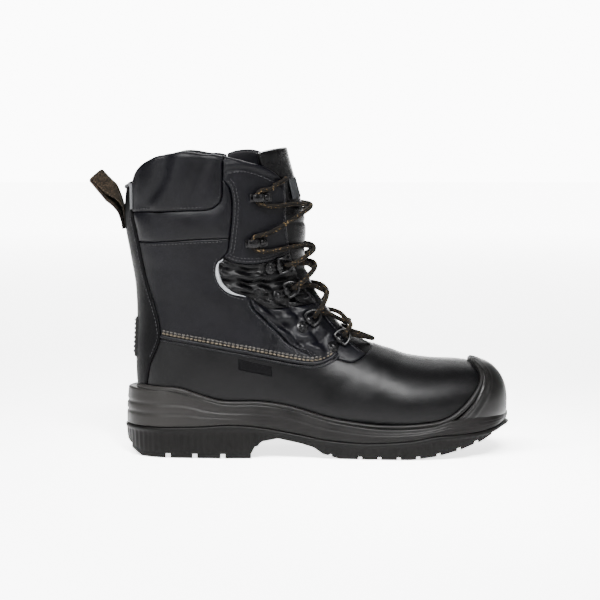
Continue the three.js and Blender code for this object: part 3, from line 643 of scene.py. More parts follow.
def curve3(points, spacing=0.8, closed=False):
    """Centripetal Catmull-Rom curve through 3-D points, evenly sampled"""
    p = [np.array(q, float) for q in points]
    if closed:
        p = [p[-1]] + p + [p[0], p[1]]
    else:
        p = [2 * p[0] - p[1]] + p + [2 * p[-1] - p[-2]]
    out = []
    for a, b, c, d in zip(p, p[1:], p[2:], p[3:]):
        k0, k1, k2 = (max(np.linalg.norm(v) ** 0.5, 1e-4) for v in (b - a, c - b, d - c))
        m1 = k1 * ((b - a) / k0 - (c - a) / (k0 + k1) + (c - b) / k1)
        m2 = k1 * ((c - b) / k1 - (d - b) / (k1 + k2) + (d - c) / k2)
        n = max(int(np.linalg.norm(c - b) / spacing), 2)
        for f in np.linspace(0, 1, n, endpoint=False):
            f2, f3 = f * f, f ** 3
            out.append((2 * f3 - 3 * f2 + 1) * b + (f3 - 2 * f2 + f) * m1
                       + (-2 * f3 + 3 * f2) * c + (f3 - f2) * m2)
    if not closed:
        out.append(p[-2])
    return np.array(out)


def stitch_run(line, material, pitch, length, radius, lift=0.12, seed=1):
    """Separate stitches along a line of points and normals, each sunk at both ends"""
    pos, nrm = line
    s = travelled(pos)
    r = rng(seed)
    rings, sides = 5, 6
    verts, faces = [], []

    def along(values, at):
        return np.array([np.interp(at, s, values[:, k]) for k in range(3)])

    for at in np.arange(pitch / 2, s[-1] - length / 2, pitch):
        half = length / 2 * (1 + r.uniform(-0.08, 0.08))
        c = along(pos, at)
        t = unit(along(pos, min(at + half, s[-1])) - along(pos, max(at - half, 0)))
        n = along(nrm, at)
        n = unit(n - t * np.dot(n, t))
        w = np.cross(t, n)
        t = t + w * r.uniform(-0.06, 0.06)
        base = len(verts)
        for f in np.linspace(-1, 1, rings):
            rad = radius * math.sqrt(max(1 - (abs(f) * 0.92) ** 3, 0.05))
            for a in np.arange(sides) * 2 * math.pi / sides:
                rise = lift - 0.35 * f * f + math.sin(a) * rad
                verts.append(c + t * half * f + n * rise + w * math.cos(a) * rad)
        faces += [[base + k for k in f] for f in tube_faces(rings, sides)]
    return add_mesh("stitches", verts, faces, material, outward=False)


def join(name, objects):
    """Several meshes made into one"""
    bm = bmesh.new()
    mats = []
    for o in objects:
        start = len(bm.faces)
        bm.from_mesh(o.data)
        bm.faces.ensure_lookup_table()
        if o.data.materials[0] not in mats:
            mats.append(o.data.materials[0])
        for f in bm.faces[start:]:
            f.material_index = mats.index(o.data.materials[0])
        bpy.data.objects.remove(o)
    me = bpy.data.meshes.new(name)
    bm.to_mesh(me)
    bm.free()
    for m in mats:
        me.materials.append(m)
    me.update()
    return place(name, me)


# ---------------------------------------------------------------- seam lines, side view
BACK_LINE = [[-131.8, 217.5], [-131.5, 192], [-126.6, 168.7], [-121.2, 141],
             [-112, 110.5], [-109.6, 96], [-112, 87], [-118, 73], [-121.4, 54], [-123, 40]]
TAPE_LINE = [[-109.6, 96], [-79, 90.5], [-40, 83], [0, 75], [13, 74.5], [24, 78], [40, 75], [51, 80.5],
             [58, 88.2]]
PAD_LINE = [[-131.5, 192], [-102, 193.2], [-74.6, 194.2], [-66, 197.3], [-61.4, 203.5], [-60.6, 217.5]]
PAD_FRONT = [[-60.6, 217.5], [-60.6, 236]]
BAND_LINE = [[-126.6, 168.7], [-110, 169.2], [-86.3, 170.7], [-55.3, 172.2]]
FACING_REAR = [[-60.6, 217.5], [-56, 213], [-53.4, 203], [-53.4, 190], [-55.3, 172.2], [-57, 162],
               [-60.7, 158.2]]
FACING_LOW = [[-60.7, 158.2], [-51.4, 153.4], [-35.9, 152.1], [-20.4, 155.1], [-8.7, 160.3]]
CRESCENT = [[-60.7, 158.2], [-64.2, 152.7], [-64.8, 145], [-61.5, 136.3], [-53.8, 129.9], [-39.8, 125.6]]
QUARTER_FRONT = [[-39.8, 125.6], [-36.7, 116.9], [-20.3, 101], [-7.8, 88.5], [10, 79], [13, 74.5]]
FLEX_LINE = [[-39.8, 125.6], [-25, 117], [-8, 117.5], [13.5, 119.7]]
FACING_FRONT = [[-13.4, 216], [-11.8, 200], [-11.8, 184], [-8.7, 160.3]]
LOWER_FRONT = [[-8.7, 160.3], [-0.8, 140], [13.5, 119.7], [26.9, 102.5], [40.3, 89], [51, 80.5]]
COLLAR_TOP = [[-138.5, 215], [-131.8, 217.5], [-126.5, 225.5], [-118, 232.3], [-104, 237.5],
              [-78.4, 237.8], [-60.6, 236], [-51.3, 233], [-30.5, 227.6], [-20.4, 222.4], [-13.4, 215.8]]
ROLL_DROP = 3.4
BACK_TOP = [[-131.8, 214.1], [-131.5, 192]]
PAD_TOP = [[x, z - ROLL_DROP] for x, z in COLLAR_TOP[1:7]]
FACING_TOP = {-1: [[x, z - 2.6] for x, z in COLLAR_TOP[6:]],
              1: [[-60.6, 233.4], [-51.3, 236.2], [-39, 237], [-30.5, 234.8], [-24, 229], [-18, 221.5],
                  [-13.4, 213.2]]}


def loop_of(parts, side, rolled=None):
    """Side-view curves joined into one loop on the skin, each kept sharp where it meets the next. It also says
    which points are on the curve that rolls over the collar."""
    us, ps, marks = [], [], []
    for k, points in enumerate(parts):
        if len(points) > 2:
            c = smooth(points)
        else:
            run = np.hypot(points[1][0] - points[0][0], points[1][1] - points[0][1])
            c = np.linspace(points[0], points[1], max(int(run / 1.6), 2))
        u, p = locate(c, side)
        us.append(u[:-1])
        ps.append(p[:-1])
        marks += [k == rolled] * (len(u) - 1)
    return pairs(np.concatenate(us), np.concatenate(ps)), np.array(marks)


def panel(name, side, parts, material, height, slot="leather", rolled=None, fill=None, **options):
    """A patch between side-view curves, on one side of the boot"""
    name = f"{name}_{dict(SIDES)[side]}"
    loop, marks = loop_of(parts, side, rolled)
    return attach(patch(name, loop, material, height, top=marks, **options), name)


def folds(xyz, lines):
    """Sum of soft folds: each is (side-view line, width, height)"""
    xz = xyz[:, [0, 2]]
    h = np.zeros(len(xyz))
    for line, width, high in lines:
        d = near_line(xz, smooth(line, 2.0))
        h += high * np.exp(-(d / width) ** 2)
    return h


def waves(xyz, r, count, length):
    """Sum of sine waves in random directions"""
    h = np.zeros(len(xyz))
    for _ in range(count):
        k = r.normal(size=3) / length
        h += np.sin(xyz @ k + r.uniform(0, 6.3))
    return h


def ripple(xyz, seed, scale, amount):
    return waves(xyz, rng(seed), 7, scale) * amount / 3


def crumple(xyz, seed, direction, wavelength, amount, wander=0.9):
    """Wrinkled leather: round ridges with sharp valleys, running across the direction given"""
    r = rng(seed)
    s = xyz @ unit(np.array(direction, float)) / wavelength
    warp = waves(xyz, r, 5, wavelength * 3.2)
    fade = 0.65 + 0.35 * np.clip(waves(xyz, r, 4, wavelength * 2.6), -1.4, 1.4)
    return amount * (np.abs(np.sin(math.pi * (s + warp * wander / 3))) - 0.64) * fade


PAD_FOLDS = [([[-104, 236], [-108, 214], [-122, 197]], 6, -2.2), ([[-92, 236], [-98, 218],
             [-112, 198]], 6, 1.3),
             ([[-74, 234], [-82, 214], [-86, 198]], 6, -2.2), ([[-66, 230], [-68, 214], [-74, 200]], 4, 0.9),
             ([[-86, 236], [-88, 220], [-96, 206]], 4, 0.5)]
BAND_FOLDS = [([[-112, 190], [-106, 182], [-108, 173]], 5, -0.7), ([[-84, 192], [-78, 183],
              [-80, 174]], 6, -0.6),
              ([[-64, 190], [-66, 182], [-62, 174]], 4, 0.5)]
QUARTER_FOLDS = [
    ([[-118, 150], [-104, 146], [-92, 148]], 5, -0.35), ([[-72, 128], [-60, 118], [-50, 104]], 6, 0.35),
    ([[-100, 128], [-86, 120], [-76, 108]], 7, -0.3), ([[-47, 121], [-38, 108], [-24, 96]], 4, 0.45),
    ([[-122, 120], [-112, 122], [-100, 118]], 6, -0.25)]
RIM_SEAM = [[-61, 221], [-57, 224.5], [-44, 226], [-30.4, 221.8], [-20, 216.5], [-15.5, 212.5]]
RIM_ROLL = [[-58, 229], [-44, 229.4], [-30, 225.2], [-20, 219.8]]
RIM_FOLDS = [(RIM_SEAM, 0.9, -1.1), (RIM_ROLL, 2.2, 1.0)]
RING_EDGE = [[0.64, -0.77], [0.64, -0.77], [0.45, -0.9], [0.25, -0.97]]
RINGS = [[29.1, 89.9], [5.5, 105.9], [-12.5, 129.7], [-18.5, 149.8]]
HOOKS = [[-36, 168.5], [-33, 203.5]]
CLIP_RIVET = 6.8  # from the ring's bar back to the clip's rivet
RIVETS = [[x + CLIP_RIVET * b, z - CLIP_RIVET * a] for (x, z), (a, b) in zip(RINGS, RING_EDGE)]


def calm(xyz):
    """0 under the rings and hooks, which lie on flat leather, and 1 away from them"""
    out = np.ones(len(xyz))
    for x, z in RINGS + HOOKS + RIVETS:
        out *= np.clip((np.hypot(xyz[:, 0] - x, xyz[:, 2] - z) - 4) / 5, 0, 1)
    return out


GUSSET_FOLDS = [
    ([[-56, 148], [-38, 146.5], [-22, 149], [-10, 155]], 2.0, -1.1),
    ([[-56, 143.5], [-40, 141.8], [-24, 143], [-8, 148]], 2.4, 0.9),
    ([[-58, 138.5], [-40, 136.5], [-22, 136.5], [-4, 140]], 2.1, -1.1),
    ([[-52, 133.5], [-36, 131.5], [-20, 129.5], [-2, 133]], 2.4, 0.8),
    ([[-44, 128.5], [-28, 124.5], [-12, 122.5], [4, 126]], 2.0, -1.2)]
EYESTAY_FOLDS = [
    ([[-30, 114], [-16, 108], [-2, 112], [8, 118]], 3, 0.7), ([[-26, 108], [-12, 102], [0, 104]], 2.4, -0.8),
    ([[-14, 98], [-2, 94], [10, 97]], 3, 0.6), ([[4, 88], [16, 84], [28, 88]], 3, 0.5),
    ([[0, 91], [12, 90], [20, 95]], 2.2, -0.5)]
VAMP_FOLDS = [
    ([[62, 80], [58, 66], [50, 52]], 5, -0.5), ([[72, 80], [69, 66], [62, 54]], 5, 0.35),
    ([[48, 70], [38, 60], [24, 54]], 6, -0.4), ([[-90, 80], [-60, 72], [-40, 66]], 8, 0.25)]

for side, word in SIDES:
    panel("collar_pad", side, [PAD_LINE, [PAD_FRONT[0], [-60.6, 232.6]], PAD_TOP[::-1], BACK_TOP], LEATHER,
          lambda xyz, d: -0.3 + 3.8 * rounded(d, 21, 2.1) + folds(xyz, PAD_FOLDS) + ripple(xyz, 3, 9, 0.3),
          rolled=2, fill=0.5)
    panel("ankle_band", side, [PAD_LINE, FACING_REAR[:5], BAND_LINE[::-1], BACK_LINE[1:3][::-1]], LEATHER,
          lambda xyz, d: -0.8 + 2.9 * rounded(d, 11, 2.1) + folds(xyz, BAND_FOLDS) + ripple(xyz, 5, 9, 0.3),
          fill=0.4)
    panel("quarter", side, [BAND_LINE, FACING_REAR[4:], CRESCENT, QUARTER_FRONT, TAPE_LINE[:5][::-1],
                            BACK_LINE[2:6][::-1]], LEATHER,
          lambda xyz, d: -0.6 + 0.6 * rounded(d, 1.6) + folds(xyz, QUARTER_FOLDS) + ripple(xyz, 8, 12, 0.14),
          spacing=2.0)
    panel("flex_gusset", side, [CRESCENT, FLEX_LINE, LOWER_FRONT[:3][::-1], FACING_LOW[::-1]], SOFT,
          lambda xyz, d: -0.9 + 0.7 * rounded(d, 3) + rounded(d, 5) * calm(xyz)
          * (2.4 * folds(xyz, GUSSET_FOLDS) + crumple(xyz, 13, (0.5, 0, 1), 9.5, 4.2)),
          slot="soft_leather", spacing=1.15)
    panel("lower_eyestay", side, [FLEX_LINE, LOWER_FRONT[2:], TAPE_LINE[4:8][::-1], QUARTER_FRONT[::-1]],
          LEATHER,
          lambda xyz, d: -0.6 + 1.1 * rounded(d, 1.8) + rounded(d, 6) * calm(xyz)
          * (2.8 * folds(xyz, EYESTAY_FOLDS) + crumple(xyz, 17, (0.75, 0, 1), 13, 3.4, 0.6)), spacing=1.25)
    panel("upper_facing", side, [[[-60.6, 233.4], [-60.6, 217.5]], FACING_REAR, FACING_LOW,
                                 FACING_FRONT[1:][::-1] + [[-13.4, 213.2]], FACING_TOP[side][::-1]], LEATHER,
          lambda xyz, d: -0.6 + 1.7 * rounded(d, 1.8) + folds(xyz, RIM_FOLDS) + ripple(xyz, 19, 9, 0.2),
          rolled=4, spacing=1.6)

# backstay: down one side, under, and up the other
ACROSS = 40
side_u, side_p = locate(smooth(BACK_TOP[:1] + BACK_LINE[1:]), -1)
p_top = np.linspace(-side_p[0], 2 * math.pi + side_p[0], ACROSS)
u_top = np.full(ACROSS, side_u[0])
# the back of the collar runs level, and a little higher at its ends
want_z = 211.3 + 2.8 * np.abs(p_top - math.pi) / abs(p_top[0] - math.pi)
for _ in range(25):
    u_top += (want_z - skin(u_top, p_top)[:, 2]) * 0.02
loop = np.vstack([
    pairs(side_u, 2 * math.pi + side_p)[:-1],
    pairs(side_u[-1], np.linspace(2 * math.pi + side_p[-1], -side_p[-1], ACROSS))[:-1],
    pairs(side_u, -side_p)[:0:-1],
    pairs(u_top, p_top)[:-1]])
marks = np.arange(len(loop)) >= len(loop) - (ACROSS - 1)
backstay = patch("backstay", loop, DULL,
                 lambda xyz, d: -0.6 + 1.5 * rounded(d, 1.6) + ripple(xyz, 23, 11, 0.12),
                 top=marks, spacing=2.0)
attach(backstay, "backstay")

# vamp: one piece round the toe and low down both sides
TOE_U = 0.25
around_toe = pairs(TOE_U, np.linspace(math.pi, -math.pi, 60))[1:-1]
seam_u, seam_p = locate(smooth(TAPE_LINE), -1)
seam_p[-1] = 0
rear_u, rear_p = locate(smooth(BACK_LINE[5:]), -1)
under_u = np.linspace(rear_u[-1], TOE_U, 60)
loop = np.vstack([
    pairs(seam_u, seam_p)[:-1], pairs(seam_u, -seam_p)[:0:-1], pairs(rear_u, -rear_p),
    pairs(under_u, math.pi), around_toe, pairs(under_u[::-1], -math.pi), pairs(rear_u, rear_p)[:0:-1]])
vamp = patch("vamp", loop, SMOOTH, lambda xyz, d: -0.5 + 0.6 * rounded(d, 1.8) + folds(xyz, VAMP_FOLDS)
             + ripple(xyz, 29, 16, 0.12), spacing=2.1)
attach(vamp, "vamp")

# ---------------------------------------------------------------- tongue
TONGUE_EDGE = [[-24, 214], [-22, 184], [-19, 160], [-10, 138], [3, 114], [17, 97], [30, 84], [45, 77],
               [60, 80]]
TONGUE_WING = [[-31.8, 238], [-30, 229], [-24, 214]]
TONGUE_TIP = [[-31.8, 238], [-22, 240.6], [-12.6, 242.4]]
TONGUE_QUILT = [([[-30, z], [10, z - 4]], 1.6, -1.0) for z in (150, 168, 186)]
eu, ep = locate(smooth(TONGUE_WING + TONGUE_EDGE[1:]), -1)
ku, kp = locate(smooth(TONGUE_TIP), -1)
kp[-1] = 0
loop = np.vstack([
    pairs(eu, ep)[:-1], pairs(eu[-1], np.linspace(ep[-1], -ep[-1], 30))[:-1], pairs(eu, -ep)[:0:-1],
    pairs(ku, -kp)[:-1], pairs(ku, kp)[:0:-1]])


def bulge(xyz):
    """the tongue's padding standing out between the facings"""
    mid = np.clip(1 - (np.abs(xyz[..., 1]) / 24) ** 2, 0, 1)
    return 3.4 * mid * np.exp(-((xyz[..., 2] - 182) / 27) ** 2)


def tongue_height(xyz, d):
    front = np.clip(1 - np.abs(xyz[:, 1]) / 26, 0, 1)
    raised = np.clip((xyz[:, 2] - 205) / 12, 0, 1)
    return -3.0 + 1.2 * rounded(d, 4) + 1.4 * np.maximum(front ** 0.7, raised) + bulge(xyz) \
        + folds(xyz, TONGUE_QUILT) * front + ripple(xyz, 31, 6, 0.2)


tongue = thicken(patch("tongue", loop, SOFT, tongue_height, skirt=-4.6), 0.0022)
apply_modifiers(tongue)
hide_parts("tongue", "tongue_top")
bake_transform(tongue)


def about_centre(zs, ys, back=False):
    """A grid of heights and widths about the boot's front or back line: z, y, u and angle of each place"""
    z, y = (g.ravel() for g in np.meshgrid(zs, ys, indexing="ij"))
    first, column = (280, 3) if back else (200, 1)  # where the line runs steadily upwards
    u = np.interp(z, section(UF)[first:, column], UF[first:])
    s = section(u)
    phi = np.arcsin(np.clip((y - s[:, 5]) / s[:, 4], -1, 1))
    return z, y, u, math.pi - phi if back else phi


# label on the tongue
_, _, lu, lp = about_centre(np.linspace(203, 218.5, 24), np.linspace(-18.5, 18.5, 24))
label = plate("tongue_label", lu, lp, 0.35 + bulge(skin(lu, lp)), (24, 24), LABEL)
attach(thicken(label, 0.0006), "tongue_label", "tongue_end")

# ---------------------------------------------------------------- inside of the boot
SHAFT_ROWS, SHAFT_COLS = 90, 96
LU, LP = np.meshgrid(np.linspace(1.2, 20.6, SHAFT_ROWS),
                     np.linspace(0, 2 * math.pi, SHAFT_COLS, endpoint=False), indexing="ij")
# its top follows the collar: higher at the sides, lower in front
near_top = np.clip((LU - 17) / 3, 0, 1)
LU = LU + near_top * (0.3 + 0.45 * np.abs(np.sin(LP)) - 2.2 * np.clip((np.cos(LP) - 0.2) / 0.8, 0, 1))
lining = add_mesh("lining", off_skin(LU.ravel(), LP.ravel(), np.full(LU.size, -5.1)),
                  grid_faces(SHAFT_ROWS, SHAFT_COLS, around=True), LINER, outward=False)
attach(thicken(lining, 0.0008), "lining")

# ---------------------------------------------------------------- scuff cap
CAP_EDGE = [[121, 30.4], [129, 37], [137, 48], [141, 58.6], [139.8, 65.3], [133.4, 72.2]]
eu, ep = locate(smooth(CAP_EDGE), -1)
ep[-1] = 0
down = np.linspace(eu[0], TOE_U, 30)
loop = np.vstack([pairs(eu, ep)[:-1], pairs(eu, -ep)[::-1], pairs(down, math.pi), around_toe,
                  pairs(down[::-1], -math.pi)])
cap_rear = kd_tree(np.vstack([skin(eu, ep), skin(eu, -ep)]))


def cap_height(xyz, d):
    """A raised band along the cap's rear edge, with two cords and a groove between them"""
    rear = np.array([cap_rear.find(p)[2] for p in xyz])
    lip = 0.75 * np.exp(-((rear - 2.2) / 1.3) ** 2) + 0.6 * np.exp(-((rear - 7.0) / 1.2) ** 2)
    return 0.2 + 3.0 * rounded(rear, 3.2) + lip * (rear < 12) - 0.3 * np.exp(-((rear - 4.6) / 1.2) ** 2)


shell = patch("scuff_shell", loop, SCUFF, cap_height, spacing=1.5, skirt=-0.4)
# the cap's tip: rings drawn in to a pole, which close the hole in the skin there
TIP_ROWS, TIP_COLS = 9, 48
tip_p = np.tile(np.linspace(0, 2 * math.pi, TIP_COLS, endpoint=False), TIP_ROWS)
tip = off_skin(np.full(len(tip_p), 0.3), tip_p, np.full(len(tip_p), 3.22))
pole = np.array([skin(0.0, 0.0)[0] + 3.25, 4.0, 42.0])
draw_in = np.repeat(np.linspace(1, 0.03, TIP_ROWS), TIP_COLS)[:, None]
tip = pole + (tip - pole) * draw_in
tip[:, 0] += 0.35 * (1 - draw_in[:, 0] ** 2)
tip_faces = grid_faces(TIP_ROWS, TIP_COLS, around=True) + [[len(tip) - TIP_COLS + j for j in range(TIP_COLS)]]
cap = join("scuff_cap", [shell, add_mesh("scuff_tip", tip, tip_faces, SCUFF)])
attach(cap, "toe_bumper")

# ---------------------------------------------------------------- sole unit
SOLE_OUTER = [[-128, -27], [-112, -38.5], [-90, -43], [-60, -45], [-30, -45], [0, -45],
              [30, -47.5], [55, -51.5], [80, -53.5], [103, -52], [125, -46.5], [143, -37.5], [156, -26],
              [164, -11]]
SOLE_INNER = [[164, 19], [156, 33], [143, 42.5], [125, 48.5], [103, 51.5], [80, 50.5], [55, 47],
              [30, 43.5], [0, 41.5], [-30, 41], [-60, 42], [-90, 41.5], [-112, 37.5], [-128, 27]]
PLAN = [[-139, 0], [-136, -14]] + SOLE_OUTER + [[166.8, 4]] + SOLE_INNER + [[-136, 14]]
plan3 = curve3([[x, y, 0] for x, y in PLAN], 1.3, closed=True)[:, :2]
pt = np.roll(plan3, -1, axis=0) - np.roll(plan3, 1, axis=0)
pt /= np.linalg.norm(pt, axis=1, keepdims=True)
pn = np.stack([pt[:, 1], -pt[:, 0]], -1)
FOXING = [[-160, 54], [-128, 53], [-94.6, 52.6], [-75, 46.2], [-59, 42.6], [-32, 42.2],
          [-8.6, 38.8], [22.7, 29.3], [55, 24.5], [79, 24], [103, 26], [118, 30], [140, 31.5], [175, 32]]
SPLIT = [[-160, 24], [-120, 24], [-80, 25], [-55, 26.5], [-30, 24.5], [0, 19], [20, 15], [50, 13], [85, 15],
         [105, 18.5], [125, 19.5], [145, 21.5], [175, 29]]
BOTTOM = np.array([[-142, 14], [-137, 7], [-126, 0.2], [-39, 0.2], [-35, 8], [-31, 13], [-18, 15.5],
                   [0, 11.5],
                   [10, 8.5], [17, 3.5], [30, 0.2], [86, 0.2], [105, 2.5], [122, 6.5], [140, 12.5], [152, 18],
                   [162, 22.5], [175, 26]])
x_p = plan3[:, 0]
fox_c, split_c = smooth(FOXING, 1.0), smooth(SPLIT, 1.0)
toe = np.clip((x_p - 122) / 22, 0, 1)
toe = toe * toe * (3 - 2 * toe)
heel = np.clip((-x_p - 40) / 40, 0, 1)
round_toe = np.clip((x_p - 148) / 16, 0, 1) ** 2
z_fox = np.interp(x_p, fox_c[:, 0], fox_c[:, 1]) + 4.5 * toe
z_split = np.interp(x_p, split_c[:, 0], split_c[:, 1])


def z_bot(x):
    return np.interp(x, BOTTOM[:, 0], BOTTOM[:, 1])


def wall(name, rows, material, **options):
    """A wall round the sole. rows: distance outwards from the plan line, and z, from the top down"""
    n = len(plan3)
    verts = [np.column_stack([plan3 + pn * np.broadcast_to(off, (n,))[:, None], np.broadcast_to(z, (n,))])
             for off, z in rows]
    faces = [[a, d, c, b] for a, b, c, d in grid_faces(len(rows), n, around=True)]
    return add_mesh(name, np.vstack(verts), faces, material, **options)


# from the upper outwards over the rolled lip, then down the wall with its long grooves
rows = [(-14.0, z_fox - 3.0), (-5.0 - 2 * toe, z_fox - 0.6)]
for a in np.linspace(0, math.pi / 2, 6):
    rows.append((-3.6 - 1.6 * toe + (2.3 + 1.4 * toe) * math.sin(a),
                 z_fox - 1.6 + 1.6 * math.cos(a) - 3.4 * toe * math.sin(a)))
for f in np.linspace(0.08, 1, 26):
    z = (z_fox - 2.2 - 3.4 * toe) * (1 - f) + (z_split + 0.2) * f
    groove = -0.9 * np.exp(-((f - 0.34) / 0.045) ** 2) * (0.25 + 0.75 * heel) \
        - 0.9 * np.exp(-((f - 0.62) / 0.045) ** 2) * (0.15 + 0.85 * heel)
    flare = 1.3 * f + 0.6 * math.sin(f * math.pi)
    rows.append((-1.4 + flare + groove - 2.7 * round_toe * f, z))
rows += [(-2.2, z_split), (-9.0, z_split)]
sole_parts = [wall("midsole_wall", rows, RUBBER)]
WELT = [[-127, 54.6], [-110, 54], [-94.6, 53.4], [-75, 47.2], [-59, 43.6], [-32, 43.4], [-8.6, 40],
        [22.7, 31],
        [55, 26.4], [79, 26], [103, 27.8], [114, 30.6], [122.5, 35.4], [131, 43], [138, 52], [141.6, 60],
        [140, 67],
        [134.6, 73]]
for side in (-1, 1):
    # a thick cord where the upper meets the sole, and a thin one beside it round the cap
    for by, h, size in ((0, 1.5, 1.9), (-3.4, 2.6, 0.8)):
        c = smooth(WELT, 1.4)
        c = c + left_of(c) * by
        if by:
            c = c[c[:, 0] > 112]
        u, p = locate(c, side)
        route = off_skin(u, p, np.full(len(u), h))
        sole_parts.append(sweep("welt", route, size, RUBBER, 10, up=normal(u, p)))
attach(join("midsole", sole_parts), "midsole")

# outsole: a slab with a lip all round, and lugs under it
RIB_PITCH = 5.2
slab_z = z_bot(x_p) + np.where(x_p > 22, 2.0, 3.4)
slab_z = np.where((x_p > -34) & (x_p < 22), z_bot(x_p) + 0.4, slab_z)
slab_z = np.minimum(slab_z, z_split - 2.5)
round_run = np.cumsum(np.linalg.norm(np.roll(plan3, -1, axis=0) - plan3, axis=1))
rib = 0.32 * np.sign(np.sin(round_run * 2 * math.pi / RIB_PITCH))
rows = [(-8.0, z_split - 0.3), (-3.0, z_split - 0.3), (0.5 - 3.4 * round_toe, z_split - 0.5),
        (1.0 - 3.5 * round_toe, z_split - 1.6), (1.0 - 3.9 * round_toe, z_split - 2.8),
        (0.4 - 4.0 * round_toe, z_split - 3.4)]
for f in np.linspace(0.1, 0.95, 7):
    rows.append((0.15 + rib * 0.5 - 0.5 * f - round_toe * (4.0 + 2.0 * f),
                 (z_split - 3.6) * (1 - f) + (slab_z + 0.2) * f))
rows.append((-0.6, slab_z))
sole_parts = [wall("outsole_wall", rows, TREAD, outward=False)]


def outline_y(x, side):
    """Edge of the sole at x on one side"""
    q = plan3[plan3[:, 1] < 2 if side < 0 else plan3[:, 1] > 2]
    q = q[np.argsort(q[:, 0])]
    return np.interp(x, q[:, 0], q[:, 1])


LUG_HIGH, LUG_CHAMFER, LUG_INNER, LUG_SKEW = 4.0, 0.5, 16.0, 2.0
lug_v, lug_f = [], []


def add_lug(points):
    """Block with chamfered lower edges; points counter-clockwise in plan"""
    p = np.array(points, float)
    c = p.mean(0)
    z = z_bot(p[:, 0])
    levels = ((p + unit(c - p) * LUG_CHAMFER, z), (p, z + LUG_CHAMFER), (p, z + LUG_HIGH))
    base = len(lug_v)
    lug_v.extend(np.vstack([np.column_stack(level) for level in levels]).tolist())
    lug_f.extend([[base + i for i in q] for q in tube_faces(3, len(p))])


HEEL_CUTS = [-134, -104, -83, -61, -39]
FORE_CUTS = [24, 46, 61, 76, 91, 107, 123, 137, 150]
for cuts, half_gap in ((HEEL_CUTS, 1.9), (FORE_CUTS, 1.5)):
    for a, b in zip(cuts[:-1], cuts[1:]):
        x0 = a if a == cuts[0] else a + half_gap
        x1 = b if b == cuts[-1] else b - half_gap
        xs = np.linspace(x0, x1, 8)
        for side in (-1, 1):
            ys = outline_y(xs, side) - side * 0.5
            inner_y = side * min(LUG_INNER, abs(ys).min() - 3)
            block = list(zip(xs, ys)) + [(x1 - LUG_SKEW, inner_y), (x0 + LUG_SKEW, inner_y)]
            add_lug(block[::-side])
# middle blocks
for x0, x1 in ((-112, -100), (-96, -84), (-80, -68), (-64, -46)):
    add_lug([(x0, -9), (x1 - 3, -11.5), (x1, 0), (x1 - 3, 11.5), (x0, 9), (x0 + 3, 0)])
for x0 in (34, 50, 66, 82, 98, 114, 129):
    add_lug([(x0, -10), (x0 + 9, -11.5), (x0 + 13, 0), (x0 + 9, 11.5), (x0, 10), (x0 + 4, 0)])
lugs = add_mesh("lugs", lug_v, lug_f, TREAD)
bevel = lugs.modifiers.new("bevel", "BEVEL")
bevel.width = 0.0004
bevel.segments = 2
bevel.limit_method = "ANGLE"
apply_modifiers(lugs)
lugs.data.shade_flat()
sole_parts.append(lugs)
# underside plate, from edge to edge
xs = np.linspace(-138, 166, 150)
zs = np.interp(xs, np.sort(x_p), slab_z[np.argsort(x_p)])
y0, y1 = outline_y(xs, -1) + 0.6, outline_y(xs, 1) - 0.6
under = [(x, a + (b - a) * f, z) for x, a, b, z in zip(xs, y0, y1, zs) for f in np.linspace(0, 1, 9)]
sole_parts.append(add_mesh("under_plate", under, grid_faces(len(xs), 9), TREAD, outward=False))
attach(join("outsole", sole_parts), "outsole")

# ---------------------------------------------------------------- heel patch, trims, piping
PATCH_LOW, PATCH_TOP, PATCH_HALF, PATCH_RIB = 76, 108, 11, 3.6
pz, py, pu, pp = about_centre(np.linspace(PATCH_LOW, PATCH_TOP, 65),
                              np.linspace(-PATCH_HALF, PATCH_HALF, 33), back=True)
edge_d = np.minimum(np.minimum(pz - PATCH_LOW, PATCH_TOP - pz), np.minimum(py + PATCH_HALF, PATCH_HALF - py))
ribs = 0.9 * (0.5 + 0.5 * np.sin((pz - PATCH_LOW) * 2 * math.pi / PATCH_RIB))
ribs *= (np.abs(py) < 9) * (edge_d > 2)
heel_patch = plate("heel_patch", pu, pp, 0.9 + 1.4 * rounded(edge_d, 1.2) + ribs, (65, 33), SCUFF)
attach(heel_patch, "heel_patch")


def line_on(points, side, h, spacing=1.2):
    """Points h mm off the skin along a side-view curve, and the normals there"""
    u, p = locate(smooth(points, spacing), side)
    return off_skin(u, p, np.full(len(u), h)), normal(u, p)


def shifted(points, by):
    """Side-view line moved sideways; positive is to the left of its direction"""
    c = smooth(points, 3.0)
    return (c + left_of(c) * by).tolist()


SEAM = [[-109, 95.4], [-79, 90.3], [-40, 83], [0, 75.2], [13, 74.6], [22, 77.5], [28, 81.5]]
CRESCENT_PIPING = [[-60.4, 156]] + CRESCENT[1:5] + [[-43, 126.8]]
